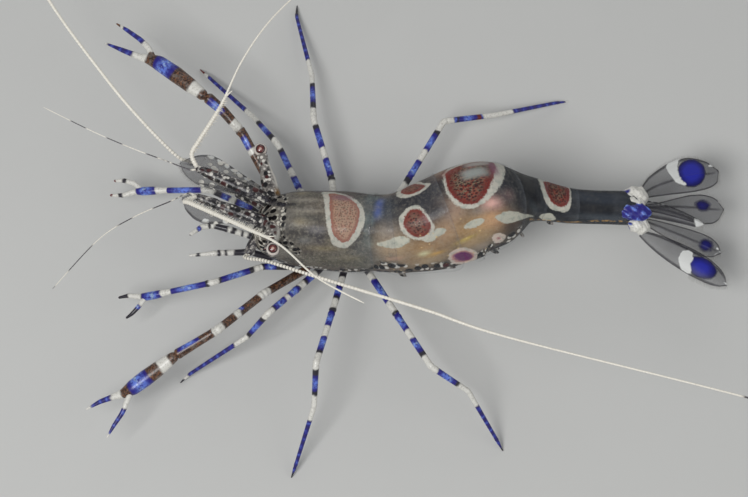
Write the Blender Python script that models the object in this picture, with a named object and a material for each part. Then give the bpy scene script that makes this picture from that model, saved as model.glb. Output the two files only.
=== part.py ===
"""Cleaner shrimp: the solids of a still, life-size museum model.

Lengths are in millimetres until a point is handed to Blender, where MM turns them into metres.
The head points towards -X, the tail towards +X, and the animal's right side is towards +Y.
The six walking legs stand on the floor, z = 0, and the finished model is shifted so that the
origin lies on the floor under the middle of its bounding box.
"""

import math
from typing import NamedTuple

import bmesh
import bpy
from mathutils import Matrix, Vector

MM = 0.001
COLLECTION = "cleaner_shrimp"
GAP = 0.3  # clear space between one solid and the next
PLATE = 0.5  # thickness of every flat fin, scale and paddle
THIN = 0.25  # radius of the thinnest feeler and finger

RING_POINTS = 24  # points round each shell plate
SHELL_SQUARENESS = 2.3  # 2 is an ellipse, more is boxier
TUBE_SIDES = 2  # bevel resolution: 8 sides

COLOURS = {
    "shell": (0.20, 0.19, 0.19),
    "saddle": (0.42, 0.17, 0.14),
    "blue": (0.05, 0.04, 0.36),
    "white": (0.80, 0.79, 0.72),
    "brown": (0.30, 0.15, 0.07),
    "eye": (0.35, 0.06, 0.06),
    "fan": (0.08, 0.09, 0.35),
}


class Station(NamedTuple):
    """One section of the body: where its middle is, its size and its lean to the right."""

    x: float
    y: float
    z: float
    half_width: float
    rise: float
    drop: float
    lean: float


BODY = (
    Station(-5.30, 0.98, 4.90, 1.20, 1.35, 1.55, 15.0),
    Station(-4.00, 0.85, 4.70, 1.60, 1.85, 2.10, 16.0),
    Station(-1.40, 0.70, 4.60, 1.80, 2.00, 2.30, 17.0),
    Station(0.05, 0.60, 4.70, 1.70, 1.90, 2.20, 18.0),
    Station(1.25, 0.55, 5.00, 1.75, 1.90, 2.50, 20.0),
    Station(2.75, 0.85, 5.40, 1.90, 2.15, 3.05, 21.0),
    Station(4.80, 1.55, 5.65, 1.90, 2.30, 3.15, 23.0),
    Station(6.15, 1.80, 5.35, 1.65, 2.00, 2.40, 23.0),
    Station(7.50, 2.20, 4.80, 1.05, 1.15, 1.20, 21.0),
    Station(9.60, 2.15, 4.10, 0.82, 0.85, 0.90, 19.0),
    Station(12.60, 2.30, 3.40, 0.85, 0.78, 0.80, 15.0),
)


class Plate(NamedTuple):
    """One shell plate: its margins at the back and the belly, and how deep its underside is.

    A depth of 1 is a full section. Less leaves a groove between the plate's two side flaps.
    """

    name: str
    front_back: float
    front_belly: float
    rear_back: float
    rear_belly: float
    depth: float
    colour: str


SHELL_PLATES = (
    Plate("carapace", -4.40, -5.10, 0.00, -0.15, 1.0, "shell"),
    Plate("pleon_1", 0.30, 0.15, 0.95, 0.60, 0.55, "shell"),
    Plate("pleon_2", 1.25, 0.90, 3.20, 3.45, 0.50, "shell"),
    Plate("pleon_3", 3.50, 3.75, 6.15, 6.60, 0.45, "saddle"),
    Plate("pleon_4", 6.45, 6.90, 7.65, 7.95, 0.60, "shell"),
    Plate("pleon_5", 7.95, 8.25, 9.30, 9.50, 1.0, "saddle"),
    Plate("pleon_6", 9.60, 9.80, 12.45, 12.45, 1.0, "shell"),
)

GROOVE_ANGLE = math.radians(25)  # half of the angle, seen from the body's middle, that a groove takes

# Rings of a shell plate: how far along it each lies and how full it is there.
PLATE_RINGS = ((0.0, 0.90), (0.06, 0.97), (0.2, 1.0), (0.5, 1.0), (0.8, 1.0), (0.94, 0.97), (1.0, 0.90))

ROSTRUM_BASE = Vector((-4.75, 1.50, 6.60))
ROSTRUM_TIP = Vector((-8.40, 2.20, 7.10))
ROSTRUM_TEETH = 7
ROSTRUM_DEPTH = 0.70
TOOTH_HEIGHT = 0.22

EYE_RADIUS = 0.36
EYESTALK_RADIUS = 0.33
EYES = {
    "left": (Vector((-5.00, 0.35, 6.00)), Vector((-4.75, -1.05, 6.80))),
    "right": (Vector((-4.85, 1.95, 5.70)), Vector((-5.45, 4.50, 5.50))),
}

# Feelers and limbs are lists of joints, (x, y, z, radius).
PEDUNCLES = {
    "antennule_peduncle_left": ((-5.75, 1.00, 6.12, 0.34), (-7.10, 1.40, 6.25, 0.31), (-8.45, 1.77, 6.38, 0.28)),
    "antennule_peduncle_right": ((-5.75, 2.12, 5.88, 0.34), (-7.10, 2.75, 5.95, 0.31), (-8.45, 3.35, 6.00, 0.28)),
    "antenna_peduncle_left": ((-5.50, 0.50, 4.40, 0.32), (-6.05, -0.45, 4.35, 0.28)),
    "antenna_peduncle_right": ((-5.50, 2.30, 4.20, 0.32), (-6.70, 2.80, 4.10, 0.28)),
}

FLAGELLA = {
    "antennule_inner_left": (
        (-8.85, 1.95, 6.30), (-9.70, 1.45, 6.50), (-11.35, 0.60, 6.70), (-13.00, -0.55, 6.70), (-15.10, -2.90, 6.40),
    ),
    "antennule_inner_right": (
        (-8.85, 3.30, 6.00), (-10.05, 3.70, 6.20), (-11.50, 4.20, 6.40), (-13.35, 5.00, 6.50), (-15.85, 6.30, 6.50),
    ),
    "antennule_outer_left": (
        (-8.95, 1.40, 6.80), (-8.55, 1.10, 7.15), (-6.00, -0.50, 8.20), (-4.35, -1.65, 9.00), (-2.60, -3.40, 9.40),
        (-0.45, -4.70, 9.60),
    ),
    "antennule_outer_right": (
        (-8.70, 3.95, 6.35), (-8.30, 4.60, 6.65), (-7.30, 6.10, 7.20), (-6.30, 8.05, 8.00), (-4.95, 9.90, 8.60),
        (-3.00, 11.90, 8.80),
    ),
    "antenna_flagellum_left": (
        (-6.15, -0.90, 4.50), (-5.60, -1.20, 4.85), (-4.45, -1.20, 5.30), (-3.20, -1.95, 5.80), (-1.00, -2.80, 6.30),
        (2.50, -4.10, 6.80), (6.35, -5.55, 7.10), (17.15, -8.60, 7.60), (27.50, -11.60, 7.40),
    ),
    "antenna_flagellum_right": (
        (-7.05, 2.95, 4.08), (-8.75, 4.25, 4.30), (-9.60, 4.60, 4.60), (-11.50, 6.45, 5.20), (-13.15, 8.35, 5.80),
        (-15.70, 11.75, 6.60), (-18.30, 16.20, 7.30), (-19.90, 21.50, 7.50), (-20.10, 26.50, 7.10),
        (-19.00, 31.50, 6.30),
    ),
}
FLAGELLUM_STEP = 1.2  # distance between the points of a feeler's smooth line

LIMBS = {
    "maxilliped_3_left": (
        (-4.85, 0.05, 2.50, 0.28), (-6.00, 0.25, 2.80, 0.28), (-7.50, 0.15, 2.95, 0.26), (-8.90, 0.00, 3.00, 0.25),
    ),
    "maxilliped_3_right": (
        (-4.85, 0.80, 2.42, 0.28), (-6.90, 1.40, 2.75, 0.28), (-7.80, 1.65, 2.80, 0.26), (-8.90, 1.10, 2.90, 0.25),
    ),
    "cheliped_1_arm_left": (
        (-3.90, -0.35, 2.10, 0.28), (-5.35, -0.70, 2.60, 0.28), (-7.75, -1.60, 3.40, 0.28), (-9.85, -1.65, 2.50, 0.26),
    ),
    "cheliped_1_arm_right": (
        (-3.75, 0.85, 1.85, 0.28), (-6.05, 2.40, 2.60, 0.28), (-8.00, 3.40, 3.00, 0.28), (-10.15, 3.63, 2.30, 0.26),
    ),
    "cheliped_1_hand_left": (
        (-10.15, -1.67, 2.38, 0.26), (-10.70, -1.75, 2.18, 0.28), (-11.20, -1.72, 1.95, 0.28), (-12.35, -1.62, 1.60, 0.25),
    ),
    "cheliped_1_hand_right": (
        (-10.45, 3.68, 2.20, 0.26), (-11.00, 3.75, 2.05, 0.28), (-11.55, 3.72, 1.88, 0.28), (-12.90, 3.72, 1.50, 0.25),
    ),
    "cheliped_1_finger_left": ((-11.35, -2.32, 1.95, 0.25), (-11.95, -2.70, 1.60, 0.25)),
    "cheliped_1_finger_right": ((-11.85, 4.36, 1.83, 0.25), (-12.70, 4.42, 1.60, 0.25)),
    "cheliped_2_arm_left": (
        (-3.20, -0.35, 2.15, 0.30), (-5.30, -2.10, 3.40, 0.30), (-7.45, -4.20, 4.20, 0.30), (-9.45, -5.22, 3.45, 0.34),
    ),
    "cheliped_2_arm_right": (
        (-3.20, 0.80, 1.90, 0.30), (-4.30, 2.20, 2.40, 0.30), (-6.55, 5.95, 3.60, 0.30), (-8.25, 7.75, 4.33, 0.34),
    ),
    "cheliped_2_hand_left": (
        (-9.75, -5.42, 3.32, 0.32), (-10.40, -5.90, 3.08, 0.42), (-11.50, -6.60, 2.68, 0.40), (-12.15, -6.85, 2.45, 0.27),
        (-13.75, -7.35, 1.90, 0.25),
    ),
    "cheliped_2_hand_right": (
        (-8.50, 7.98, 4.35, 0.32), (-9.20, 8.60, 4.25, 0.42), (-10.60, 9.75, 4.05, 0.40), (-11.25, 9.95, 3.95, 0.27),
        (-13.25, 10.85, 3.70, 0.25),
    ),
    "cheliped_2_finger_left": ((-11.85, -7.55, 2.50, 0.27), (-12.70, -8.80, 1.90, 0.25)),
    "cheliped_2_finger_right": ((-11.10, 10.72, 3.95, 0.27), (-12.70, 11.90, 3.70, 0.25)),
}

WALKING_LEGS = {
    "walking_leg_3_left": (
        (-2.50, -0.35, 2.20, 0.29), (-5.05, -3.10, 3.50, 0.29), (-6.10, -3.90, 2.30, 0.27), (-9.40, -5.50, 0.10, 0.25),
    ),
    "walking_leg_4_left": (
        (-1.70, -0.35, 2.20, 0.29), (-2.75, -5.75, 3.90, 0.29), (-2.85, -7.45, 2.50, 0.27), (-3.95, -10.25, 0.10, 0.25),
    ),
    "walking_leg_5_left": (
        (-0.80, -0.35, 2.20, 0.29), (2.70, -5.85, 3.70, 0.29), (4.50, -6.70, 2.50, 0.27), (6.20, -8.90, 0.10, 0.25),
    ),
    "walking_leg_3_right": (
        (-2.50, 0.85, 1.90, 0.29), (-4.75, 6.25, 1.90, 0.29), (-6.00, 8.05, 1.00, 0.27), (-8.75, 11.00, 0.10, 0.25),
    ),
    "walking_leg_4_right": (
        (-1.70, 0.85, 1.90, 0.29), (-2.95, 7.50, 2.00, 0.29), (-2.95, 10.25, 1.10, 0.27), (-3.90, 14.50, 0.10, 0.25),
    ),
    "walking_leg_5_right": (
        (-0.80, 0.85, 1.90, 0.29), (3.45, 7.30, 2.00, 0.29), (6.00, 8.10, 1.10, 0.27), (9.75, 9.25, 0.10, 0.25),
    ),
}


class Blade(NamedTuple):
    """A flat leaf-shaped part: where it starts and ends, its widths and the way it faces."""

    base: tuple
    tip: tuple
    base_width: float
    width: float
    facing: tuple
    colour: str


BLADES = {
    "antenna_scale_left": Blade((-5.75, 0.55, 5.25), (-8.75, 1.50, 5.50), 0.50, 1.05, (0.0, 0.1, 1.0), "shell"),
    "antenna_scale_right": Blade((-5.80, 2.80, 5.00), (-8.90, 3.80, 5.05), 0.50, 1.05, (0.0, 0.4, 1.0), "shell"),
    "telson": Blade((12.80, 2.30, 3.50), (15.85, 1.85, 3.10), 0.85, 0.80, (0.0, 0.2, 1.0), "shell"),
    "uropod_endopod_left": Blade((13.10, 1.95, 2.60), (16.85, 0.25, 2.60), 0.25, 0.75, (0.0, -0.1, 1.0), "fan"),
    "uropod_endopod_right": Blade((13.10, 2.60, 2.60), (16.95, 2.62, 2.60), 0.25, 0.80, (0.0, 0.1, 1.0), "fan"),
    "uropod_exopod_left": Blade((13.00, 1.20, 2.70), (17.05, -1.55, 2.80), 0.30, 1.20, (0.0, -0.2, 1.0), "fan"),
    "uropod_exopod_right": Blade((13.00, 3.20, 2.75), (16.80, 4.70, 2.75), 0.30, 1.35, (0.0, 0.2, 1.0), "fan"),
}

PLEOPOD_WIDTH = 0.50
PLEOPOD_SPREAD = 0.31  # from the midline to each paddle's middle


class Pleopod(NamedTuple):
    """A pair of swimming paddles: where it hangs, its length and its sweep towards the tail."""

    x: float
    length: float
    sweep: float
    root_depth: float


PLEOPODS = (
    Pleopod(0.55, 1.30, 25.0, 0.55),
    Pleopod(2.20, 1.60, 30.0, 0.50),
    Pleopod(4.60, 1.80, 35.0, 0.45),
    Pleopod(7.00, 0.95, 45.0, 0.60),
    Pleopod(8.55, 0.90, 65.0, 1.00),
)


def body_at(x):
    """The body's section at x, on a smooth curve through the stations."""
    after = next((i for i, station in enumerate(BODY) if station.x >= x), len(BODY) - 1)
    i = max(after, 1)
    a, b = BODY[i - 1], BODY[i]
    before, beyond = BODY[max(i - 2, 0)], BODY[min(i + 1, len(BODY) - 1)]
    span = b.x - a.x
    t = (x - a.x) / span
    values = []
    for p0, p1, p2, p3 in zip(before, a, b, beyond):
        slope_a = (p2 - p0) / (b.x - before.x) * span
        slope_b = (p3 - p1) / (beyond.x - a.x) * span
        values.append(
            (2 * t**3 - 3 * t**2 + 1) * p1
            + (t**3 - 2 * t**2 + t) * slope_a
            + (3 * t**2 - 2 * t**3) * p2
            + (t**3 - t**2) * slope_b
        )
    return Station(*values)


def body_frame(x):
    """The section at x with its middle and the directions to the animal's right and to its back."""
    section = body_at(x)
    middle = Vector(section[:3])
    step = 0.05
    along = Vector(body_at(x + step)[:3]) - Vector(body_at(x - step)[:3])
    along.normalize()
    lean = math.radians(section.lean)
    back = Vector((0.0, math.sin(lean), math.cos(lean)))
    back = (back - along * back.dot(along)).normalized()
    right = back.cross(along).normalized()
    if right.y < 0:
        right.negate()
    return section, middle, right, back


def body_point(x, angle, fullness=1.0):
    """The point of the body's surface at x, at an angle from the back towards the right."""
    section, middle, right, back = body_frame(x)
    power = 2.0 / SHELL_SQUARENESS
    across = math.copysign(abs(math.sin(angle)) ** power, math.sin(angle))
    up = math.copysign(abs(math.cos(angle)) ** power, math.cos(angle))
    height = section.rise if up > 0 else section.drop
    return middle + fullness * (section.half_width * across * right + height * up * back)


def material(name, colour, roughness=0.35):
    """A Principled material of this colour."""
    made = bpy.data.materials.new(name)
    made.use_nodes = True
    shader = made.node_tree.nodes["Principled BSDF"]
    shader.inputs["Base Color"].default_value = (*colour, 1.0)
    shader.inputs["Roughness"].default_value = roughness
    shader.inputs["Metallic"].default_value = 0.0
    return made


def add_object(name, data, colour):
    """A named object in the shrimp's collection, with its own material."""
    obj = bpy.data.objects.new(name, data)
    data.materials.append(material(name, COLOURS[colour]))
    bpy.data.collections[COLLECTION].objects.link(obj)
    return obj


def mesh_object(name, bm, colour):
    """A smooth-shaded mesh object from bm, which is freed."""
    bmesh.ops.recalc_face_normals(bm, faces=bm.faces)
    mesh = bpy.data.meshes.new(name)
    bm.to_mesh(mesh)
    bm.free()
    mesh.shade_smooth()
    mesh.set_sharp_from_angle(angle=math.radians(40))
    return add_object(name, mesh, colour)


def loft(rings):
    """A closed bmesh through rings of points, each end closed by a fan to its middle."""
    bm = bmesh.new()
    loops = [[bm.verts.new(point * MM) for point in ring] for ring in rings]
    count = len(loops[0])
    for near, far in zip(loops, loops[1:]):
        for i in range(count):
            j = (i + 1) % count
            bm.faces.new((near[i], near[j], far[j], far[i]))
    for ring, loop in ((rings[0], loops[0]), (rings[-1], loops[-1])):
        middle = bm.verts.new(sum(ring, Vector()) / count * MM)
        for i in range(count):
            bm.faces.new((loop[i], loop[(i + 1) % count], middle))
    return bm


def add_shell_plate(plate):
    """A solid piece of the body between the plate's slanted margins."""
    rings = []
    for along, fullness in PLATE_RINGS:
        ring = []
        for i in range(RING_POINTS):
            angle = 2 * math.pi * i / RING_POINTS
            belly = (1 - math.cos(angle)) / 2
            front = plate.front_back + (plate.front_belly - plate.front_back) * belly
            rear = plate.rear_back + (plate.rear_belly - plate.rear_back) * belly
            x = front + (rear - front) * along
            point = body_point(x, angle, fullness)
            if abs(angle - math.pi) < GROOVE_ANGLE:
                section, middle, right, back = body_frame(x)
                point += back * section.drop * (1 - plate.depth) * fullness
            ring.append(point)
        rings.append(ring)
    mesh_object(plate.name, loft(rings), plate.colour)


def tube_curve(name, joints, radii):
    """A tube's curve data through the joints, with a radius at each, both ends capped."""
    curve = bpy.data.curves.new(name, "CURVE")
    curve.dimensions = "3D"
    curve.bevel_depth = MM
    curve.bevel_resolution = TUBE_SIDES
    curve.use_fill_caps = True
    spline = curve.splines.new("POLY")
    spline.points.add(len(joints) - 1)
    for point, joint, radius in zip(spline.points, joints, radii):
        point.co = (*(joint * MM), 1.0)
        point.radius = radius
    spline.use_smooth = True
    return curve


def add_tube(name, joints, radii, colour):
    """A tube object through the joints."""
    return add_object(name, tube_curve(name, joints, radii), colour)


def smooth_line(points, step):
    """Points a step apart on a Catmull-Rom curve through the given ones."""
    line = []
    for i in range(len(points) - 1):
        p0, p1 = points[max(i - 1, 0)], points[i]
        p2, p3 = points[i + 1], points[min(i + 2, len(points) - 1)]
        pieces = max(2, round((p2 - p1).length / step))
        for k in range(pieces):
            t = k / pieces
            line.append(
                0.5
                * (
                    2 * p1
                    + (p2 - p0) * t
                    + (2 * p0 - 5 * p1 + 4 * p2 - p3) * t**2
                    + (3 * p1 - p0 - 3 * p2 + p3) * t**3
                )
            )
    return [*line, points[-1]]


def add_leg(name, joints):
    """A walking leg whose tip is cut flat where it meets the floor."""
    curve = tube_curve(name, [Vector(joint[:3]) for joint in joints], [joint[3] for joint in joints])
    helper = bpy.data.objects.new(name + "_curve", curve)
    bpy.data.collections[COLLECTION].objects.link(helper)
    depsgraph = bpy.context.evaluated_depsgraph_get()
    mesh = bpy.data.meshes.new_from_object(helper.evaluated_get(depsgraph))
    bpy.data.objects.remove(helper)
    bm = bmesh.new()
    bm.from_mesh(mesh)
    bpy.data.meshes.remove(mesh)
    bmesh.ops.remove_doubles(bm, verts=bm.verts, dist=1e-6)
    everything = [*bm.verts, *bm.edges, *bm.faces]
    cut = bmesh.ops.bisect_plane(bm, geom=everything, plane_co=(0, 0, 0), plane_no=(0, 0, 1), clear_inner=True)
    edges = [item for item in cut["geom_cut"] if isinstance(item, bmesh.types.BMEdge)]
    bmesh.ops.edgeloop_fill(bm, edges=edges)
    mesh_object(name, bm, "blue")


def blade_matrix(base, tip, facing):
    """The placement of a flat part: its X runs to the tip and its Z is the way it faces."""
    along = (tip - base).normalized()
    normal = (facing - along * facing.dot(along)).normalized()
    across = normal.cross(along)
    turn = Matrix((along, across, normal)).transposed().to_4x4()
    return Matrix.Translation(base * MM) @ turn


def add_flat(name, outline, matrix, colour, smooth):
    """A flat part of the plate thickness from its outline, rounded where smooth."""
    curve = bpy.data.curves.new(name, "CURVE")
    curve.dimensions = "2D"
    curve.fill_mode = "BOTH"
    curve.extrude = PLATE / 2 * MM
    curve.resolution_u = 3
    if smooth:
        spline = curve.splines.new("BEZIER")
        spline.bezier_points.add(len(outline) - 1)
        for point, (along, across) in zip(spline.bezier_points, outline):
            point.co = (along * MM, across * MM, 0)
            point.handle_left_type = point.handle_right_type = "AUTO"
    else:
        spline = curve.splines.new("POLY")
        spline.points.add(len(outline) - 1)
        for point, (along, across) in zip(spline.points, outline):
            point.co = (along * MM, across * MM, 0, 1)
    spline.use_cyclic_u = True
    obj = add_object(name, curve, colour)
    obj.matrix_world = matrix


def leaf(length, base_width, width):
    """The outline of a leaf-shaped fin: narrow at its base, widest past its middle."""
    half = [(0.0, base_width / 2), (0.35, width * 0.42), (0.65, width / 2), (0.90, width * 0.36)]
    upper = [(along * length, across) for along, across in half]
    lower = [(along, -across) for along, across in reversed(upper)]
    return [*upper, (length, 0.0), *lower]


def add_blades():
    """The antennal scales, the telson and the four uropods."""
    for name, blade in BLADES.items():
        base, tip = Vector(blade.base), Vector(blade.tip)
        outline = leaf((tip - base).length, blade.base_width, blade.width)
        add_flat(name, outline, blade_matrix(base, tip, Vector(blade.facing)), blade.colour, smooth=True)


def add_rostrum():
    """The toothed blade that runs forward between the eyes."""
    along = ROSTRUM_TIP - ROSTRUM_BASE
    length = along.length
    upper = []
    for i in range(ROSTRUM_TEETH):
        rise = ROSTRUM_DEPTH * (1 - i / ROSTRUM_TEETH) * 0.5
        start = length * i / (ROSTRUM_TEETH + 1)
        upper += [(start, rise), (start + 0.30, rise + TOOTH_HEIGHT * (1 - 0.5 * i / ROSTRUM_TEETH))]
    lower = [(length * 0.6, -ROSTRUM_DEPTH * 0.25), (0.0, -ROSTRUM_DEPTH * 0.5)]
    section, middle, right, back = body_frame(ROSTRUM_BASE.x)
    facing = back.cross(along)
    matrix = blade_matrix(ROSTRUM_BASE, ROSTRUM_TIP, facing)
    if (matrix.to_3x3() @ Vector((0, 1, 0))).z < 0:
        matrix = blade_matrix(ROSTRUM_BASE, ROSTRUM_TIP, -facing)
    add_flat("rostrum", [*upper, (length, 0.0), *lower], matrix, "shell", smooth=False)


def add_eyes():
    """Each eyestalk, and the round eye a little way past its end."""
    for side, (base, eye) in EYES.items():
        direction = (eye - base).normalized()
        stalk_end = eye - direction * (EYE_RADIUS + GAP / 2)
        radii = (EYESTALK_RADIUS, EYESTALK_RADIUS * 0.95)
        add_tube(f"eyestalk_{side}", (base, stalk_end), radii, "white")
        bm = bmesh.new()
        bmesh.ops.create_uvsphere(
            bm, u_segments=16, v_segments=10, radius=EYE_RADIUS * MM, matrix=Matrix.Translation(eye * MM)
        )
        mesh_object(f"eye_{side}", bm, "eye")


def add_feelers():
    """The stout base joints of both pairs of antennae, then their long whips."""
    for name, joints in PEDUNCLES.items():
        add_tube(name, [Vector(joint[:3]) for joint in joints], [joint[3] for joint in joints], "shell")
    for name, points in FLAGELLA.items():
        line = smooth_line([Vector(point) for point in points], FLAGELLUM_STEP)
        add_tube(name, line, [THIN] * len(line), "white")


def add_limbs():
    """The mouth legs and the two pairs of clawed legs, then the walking legs."""
    for name, joints in LIMBS.items():
        colour = "brown" if name.startswith("cheliped_2") else "blue"
        add_tube(name, [Vector(joint[:3]) for joint in joints], [joint[3] for joint in joints], colour)
    for name, joints in WALKING_LEGS.items():
        add_leg(name, joints)


def add_pleopods():
    """Five pairs of paddles that hang under the tail."""
    for i, pleopod in enumerate(PLEOPODS, start=1):
        section, middle, right, back = body_frame(pleopod.x)
        tailward = right.cross(back)
        if tailward.x < 0:
            tailward.negate()
        sweep = math.radians(pleopod.sweep)
        direction = tailward * math.sin(sweep) - back * math.cos(sweep)
        root = middle - back * (section.drop * pleopod.root_depth + GAP + PLATE / 2)
        for side, sign in (("left", -1), ("right", 1)):
            base = root + right * sign * PLEOPOD_SPREAD
            matrix = blade_matrix(base, base + direction * pleopod.length, direction.cross(right))
            outline = leaf(pleopod.length, PLEOPOD_WIDTH * 0.6, PLEOPOD_WIDTH)
            add_flat(f"pleopod_{i}_{side}", outline, matrix, "shell", smooth=True)


def centre_on_floor():
    """Shifts every part so that the origin is under the middle of the model's bounding box."""
    bpy.context.view_layer.update()
    depsgraph = bpy.context.evaluated_depsgraph_get()
    parts = list(bpy.data.collections[COLLECTION].objects)
    low, high = [math.inf] * 2, [-math.inf] * 2
    for obj in parts:
        evaluated = obj.evaluated_get(depsgraph)
        for vertex in evaluated.to_mesh().vertices:
            point = evaluated.matrix_world @ vertex.co
            for axis in range(2):
                low[axis] = min(low[axis], point[axis])
                high[axis] = max(high[axis], point[axis])
        evaluated.to_mesh_clear()
    shift = Vector((-(low[0] + high[0]) / 2, -(low[1] + high[1]) / 2, 0.0))
    for obj in parts:
        obj.matrix_world = Matrix.Translation(shift) @ obj.matrix_world


def main():
    """Builds the whole animal in an emptied scene."""
    for obj in list(bpy.data.objects):
        bpy.data.objects.remove(obj)
    collection = bpy.data.collections.new(COLLECTION)
    bpy.context.scene.collection.children.link(collection)
    for plate in SHELL_PLATES:
        add_shell_plate(plate)
    add_rostrum()
    add_eyes()
    add_feelers()
    add_limbs()
    add_blades()
    add_pleopods()
    centre_on_floor()


if __name__ == "__main__":
    main()
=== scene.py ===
"""Looks of a cleaner shrimp: a still, life-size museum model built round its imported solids.

Lengths are in millimetres until a mesh is made, where they become metres. Design coordinates are
those of the solids before they were centred on the floor: the head points towards -X, the
animal's right side is towards +Y and the feet stand on z = 0. On the trunk, a place is given by
its station x and by its arc, the distance round the skin from the middle of the back, which is
negative on the animal's left.
"""

import logging
import math
from collections.abc import Iterable, Sequence
from dataclasses import dataclass, field
from enum import Enum

import bpy
import numpy as np
from mathutils import Matrix, Vector


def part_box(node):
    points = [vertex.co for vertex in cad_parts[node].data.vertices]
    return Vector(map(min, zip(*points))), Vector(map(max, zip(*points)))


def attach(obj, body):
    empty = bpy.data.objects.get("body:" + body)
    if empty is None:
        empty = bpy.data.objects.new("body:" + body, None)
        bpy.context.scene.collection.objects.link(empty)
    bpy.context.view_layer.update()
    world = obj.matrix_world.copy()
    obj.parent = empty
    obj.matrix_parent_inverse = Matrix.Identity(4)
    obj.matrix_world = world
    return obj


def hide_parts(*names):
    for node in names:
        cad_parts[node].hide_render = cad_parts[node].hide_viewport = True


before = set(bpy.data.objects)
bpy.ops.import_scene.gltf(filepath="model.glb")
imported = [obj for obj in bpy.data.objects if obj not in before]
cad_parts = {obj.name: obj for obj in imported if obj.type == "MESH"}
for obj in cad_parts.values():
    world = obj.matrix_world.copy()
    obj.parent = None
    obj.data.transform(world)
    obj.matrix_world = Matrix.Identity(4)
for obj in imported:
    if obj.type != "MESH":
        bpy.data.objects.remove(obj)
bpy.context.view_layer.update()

log = logging.getLogger("cleaner_shrimp")

MM = 0.001
SHARP_ANGLE = math.radians(50)  # edges that turn more than this stay sharp
PIECES_EACH_SPAN = 24  # pieces of a smooth line between two of its given points
RIGHT_EYE = np.array((-5.45, 4.5, 5.5))  # middle of the right eye, in design coordinates
EYE_BOX = np.array([tuple(corner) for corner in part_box("eye_right")])
SHIFT = EYE_BOX.mean(axis=0) / MM - RIGHT_EYE

UP = np.array((0.0, 0.0, 1.0))

Array = np.ndarray
Socket = bpy.types.NodeSocket
Material = bpy.types.Material
Point = tuple[float, float, float]
Spot = tuple[float, float]  # station and arc on the trunk


# ---------------------------------------------------------------- small helpers


def linear(hex_colour: str) -> tuple[float, float, float, float]:
    """Turns an sRGB hex colour into linear light.

    Args:
        hex_colour: Six hex digits after a hash sign.

    Returns:
        Red, green, blue and an alpha of 1.
    """
    parts = [int(hex_colour[i : i + 2], 16) / 255 for i in (1, 3, 5)]
    red, green, blue = (c / 12.92 if c <= 0.04045 else ((c + 0.055) / 1.055) ** 2.4 for c in parts)
    return red, green, blue, 1.0


def per_metre(size_mm: float) -> float:
    """Returns the texture scale, in cells for each metre, of a pattern whose cells are size_mm wide."""
    return 1.0 / (size_mm * MM)


def add(tree: bpy.types.NodeTree, kind: str, links: dict | None = None, **settings: object) -> bpy.types.Node:
    """Adds a node with its settings, and sets or links its inputs.

    Args:
        tree: The tree that the node joins.
        kind: The node's type name.
        links: For each input, by name or place, a value or the socket that feeds it.
        **settings: The node's own properties.

    Returns:
        The new node.
    """
    node = tree.nodes.new(kind)
    for name, value in settings.items():
        setattr(node, name, value)
    for key, value in (links or {}).items():
        if isinstance(value, Socket):
            tree.links.new(value, node.inputs[key])
        else:
            node.inputs[key].default_value = value
    return node


def place(points: Sequence | Array) -> Array:
    """Returns design points in millimetres as row-frame points in metres."""
    return (np.asarray(points, float) + SHIFT) * MM


def unit(vectors: Array) -> Array:
    """Returns the vectors, each scaled to length 1."""
    return vectors / np.maximum(np.linalg.norm(vectors, axis=-1, keepdims=True), 1e-12)


def smooth_step(low: float, high: float, values: Array) -> Array:
    """Returns 0 below low and 1 above high, with a smooth rise between them."""
    t = np.clip((values - low) / (high - low), 0.0, 1.0)
    return t * t * (3 - 2 * t)


def taper(distance: Array, reach: float, least: float) -> Array:
    """Returns a rounded end's width, as a share of the full one, at this distance from the end."""
    return np.sqrt(np.clip(distance / reach, least, 1.0))


def window(values: Array, up: tuple[float, float], down: tuple[float, float]) -> Array:
    """Returns 1 between two smooth steps, one up and one down, and 0 outside them."""
    return smooth_step(*up, values) * (1 - smooth_step(*down, values))


def between(p0: Array, p1: Array, p2: Array, p3: Array, t: float) -> Array:
    """Returns the point a share t of the way from p1 to p2, on a smooth curve through all four."""
    square, cube = 2 * p0 - 5 * p1 + 4 * p2 - p3, 3 * p1 - p0 - 3 * p2 + p3
    return 0.5 * (2 * p1 + (p2 - p0) * t + square * t**2 + cube * t**3)


def rounded_outline(corners: Sequence[Spot], pieces: int = 6) -> Array:
    """Draws a closed smooth curve through a few corners.

    Args:
        corners: The corners in order.
        pieces: How many straight pieces replace each side.

    Returns:
        The curve's points, one row each.
    """
    p = np.array(corners, float)
    around = [np.roll(p, shift, 0) for shift in (1, 0, -1, -2)]
    return np.stack([between(*around, t) for t in np.arange(pieces) / pieces], axis=1).reshape(-1, 2)


def depth_inside(x: Array, y: Array, outline: Array) -> Array:
    """Measures how far points lie inside a closed outline.

    Args:
        x: First coordinate of each point.
        y: Second coordinate of each point.
        outline: The outline's points in order.

    Returns:
        Millimetres to the outline: positive inside, negative outside.
    """
    inside = np.zeros(x.shape, bool)
    nearest = np.full(x.shape, 9.0)
    for (ax, ay), (bx, by) in zip(outline, np.roll(outline, -1, 0)):
        run, climb = bx - ax, by - ay
        t = np.clip(((x - ax) * run + (y - ay) * climb) / max(run * run + climb * climb, 1e-12), 0, 1)
        nearest = np.minimum(nearest, np.hypot(x - ax - t * run, y - ay - t * climb))
        crosses = ((ay > y) != (by > y)) & (x < run * (y - ay) / (climb if climb else 1e-12) + ax)
        inside ^= crosses
    return np.where(inside, nearest, -nearest)


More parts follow.
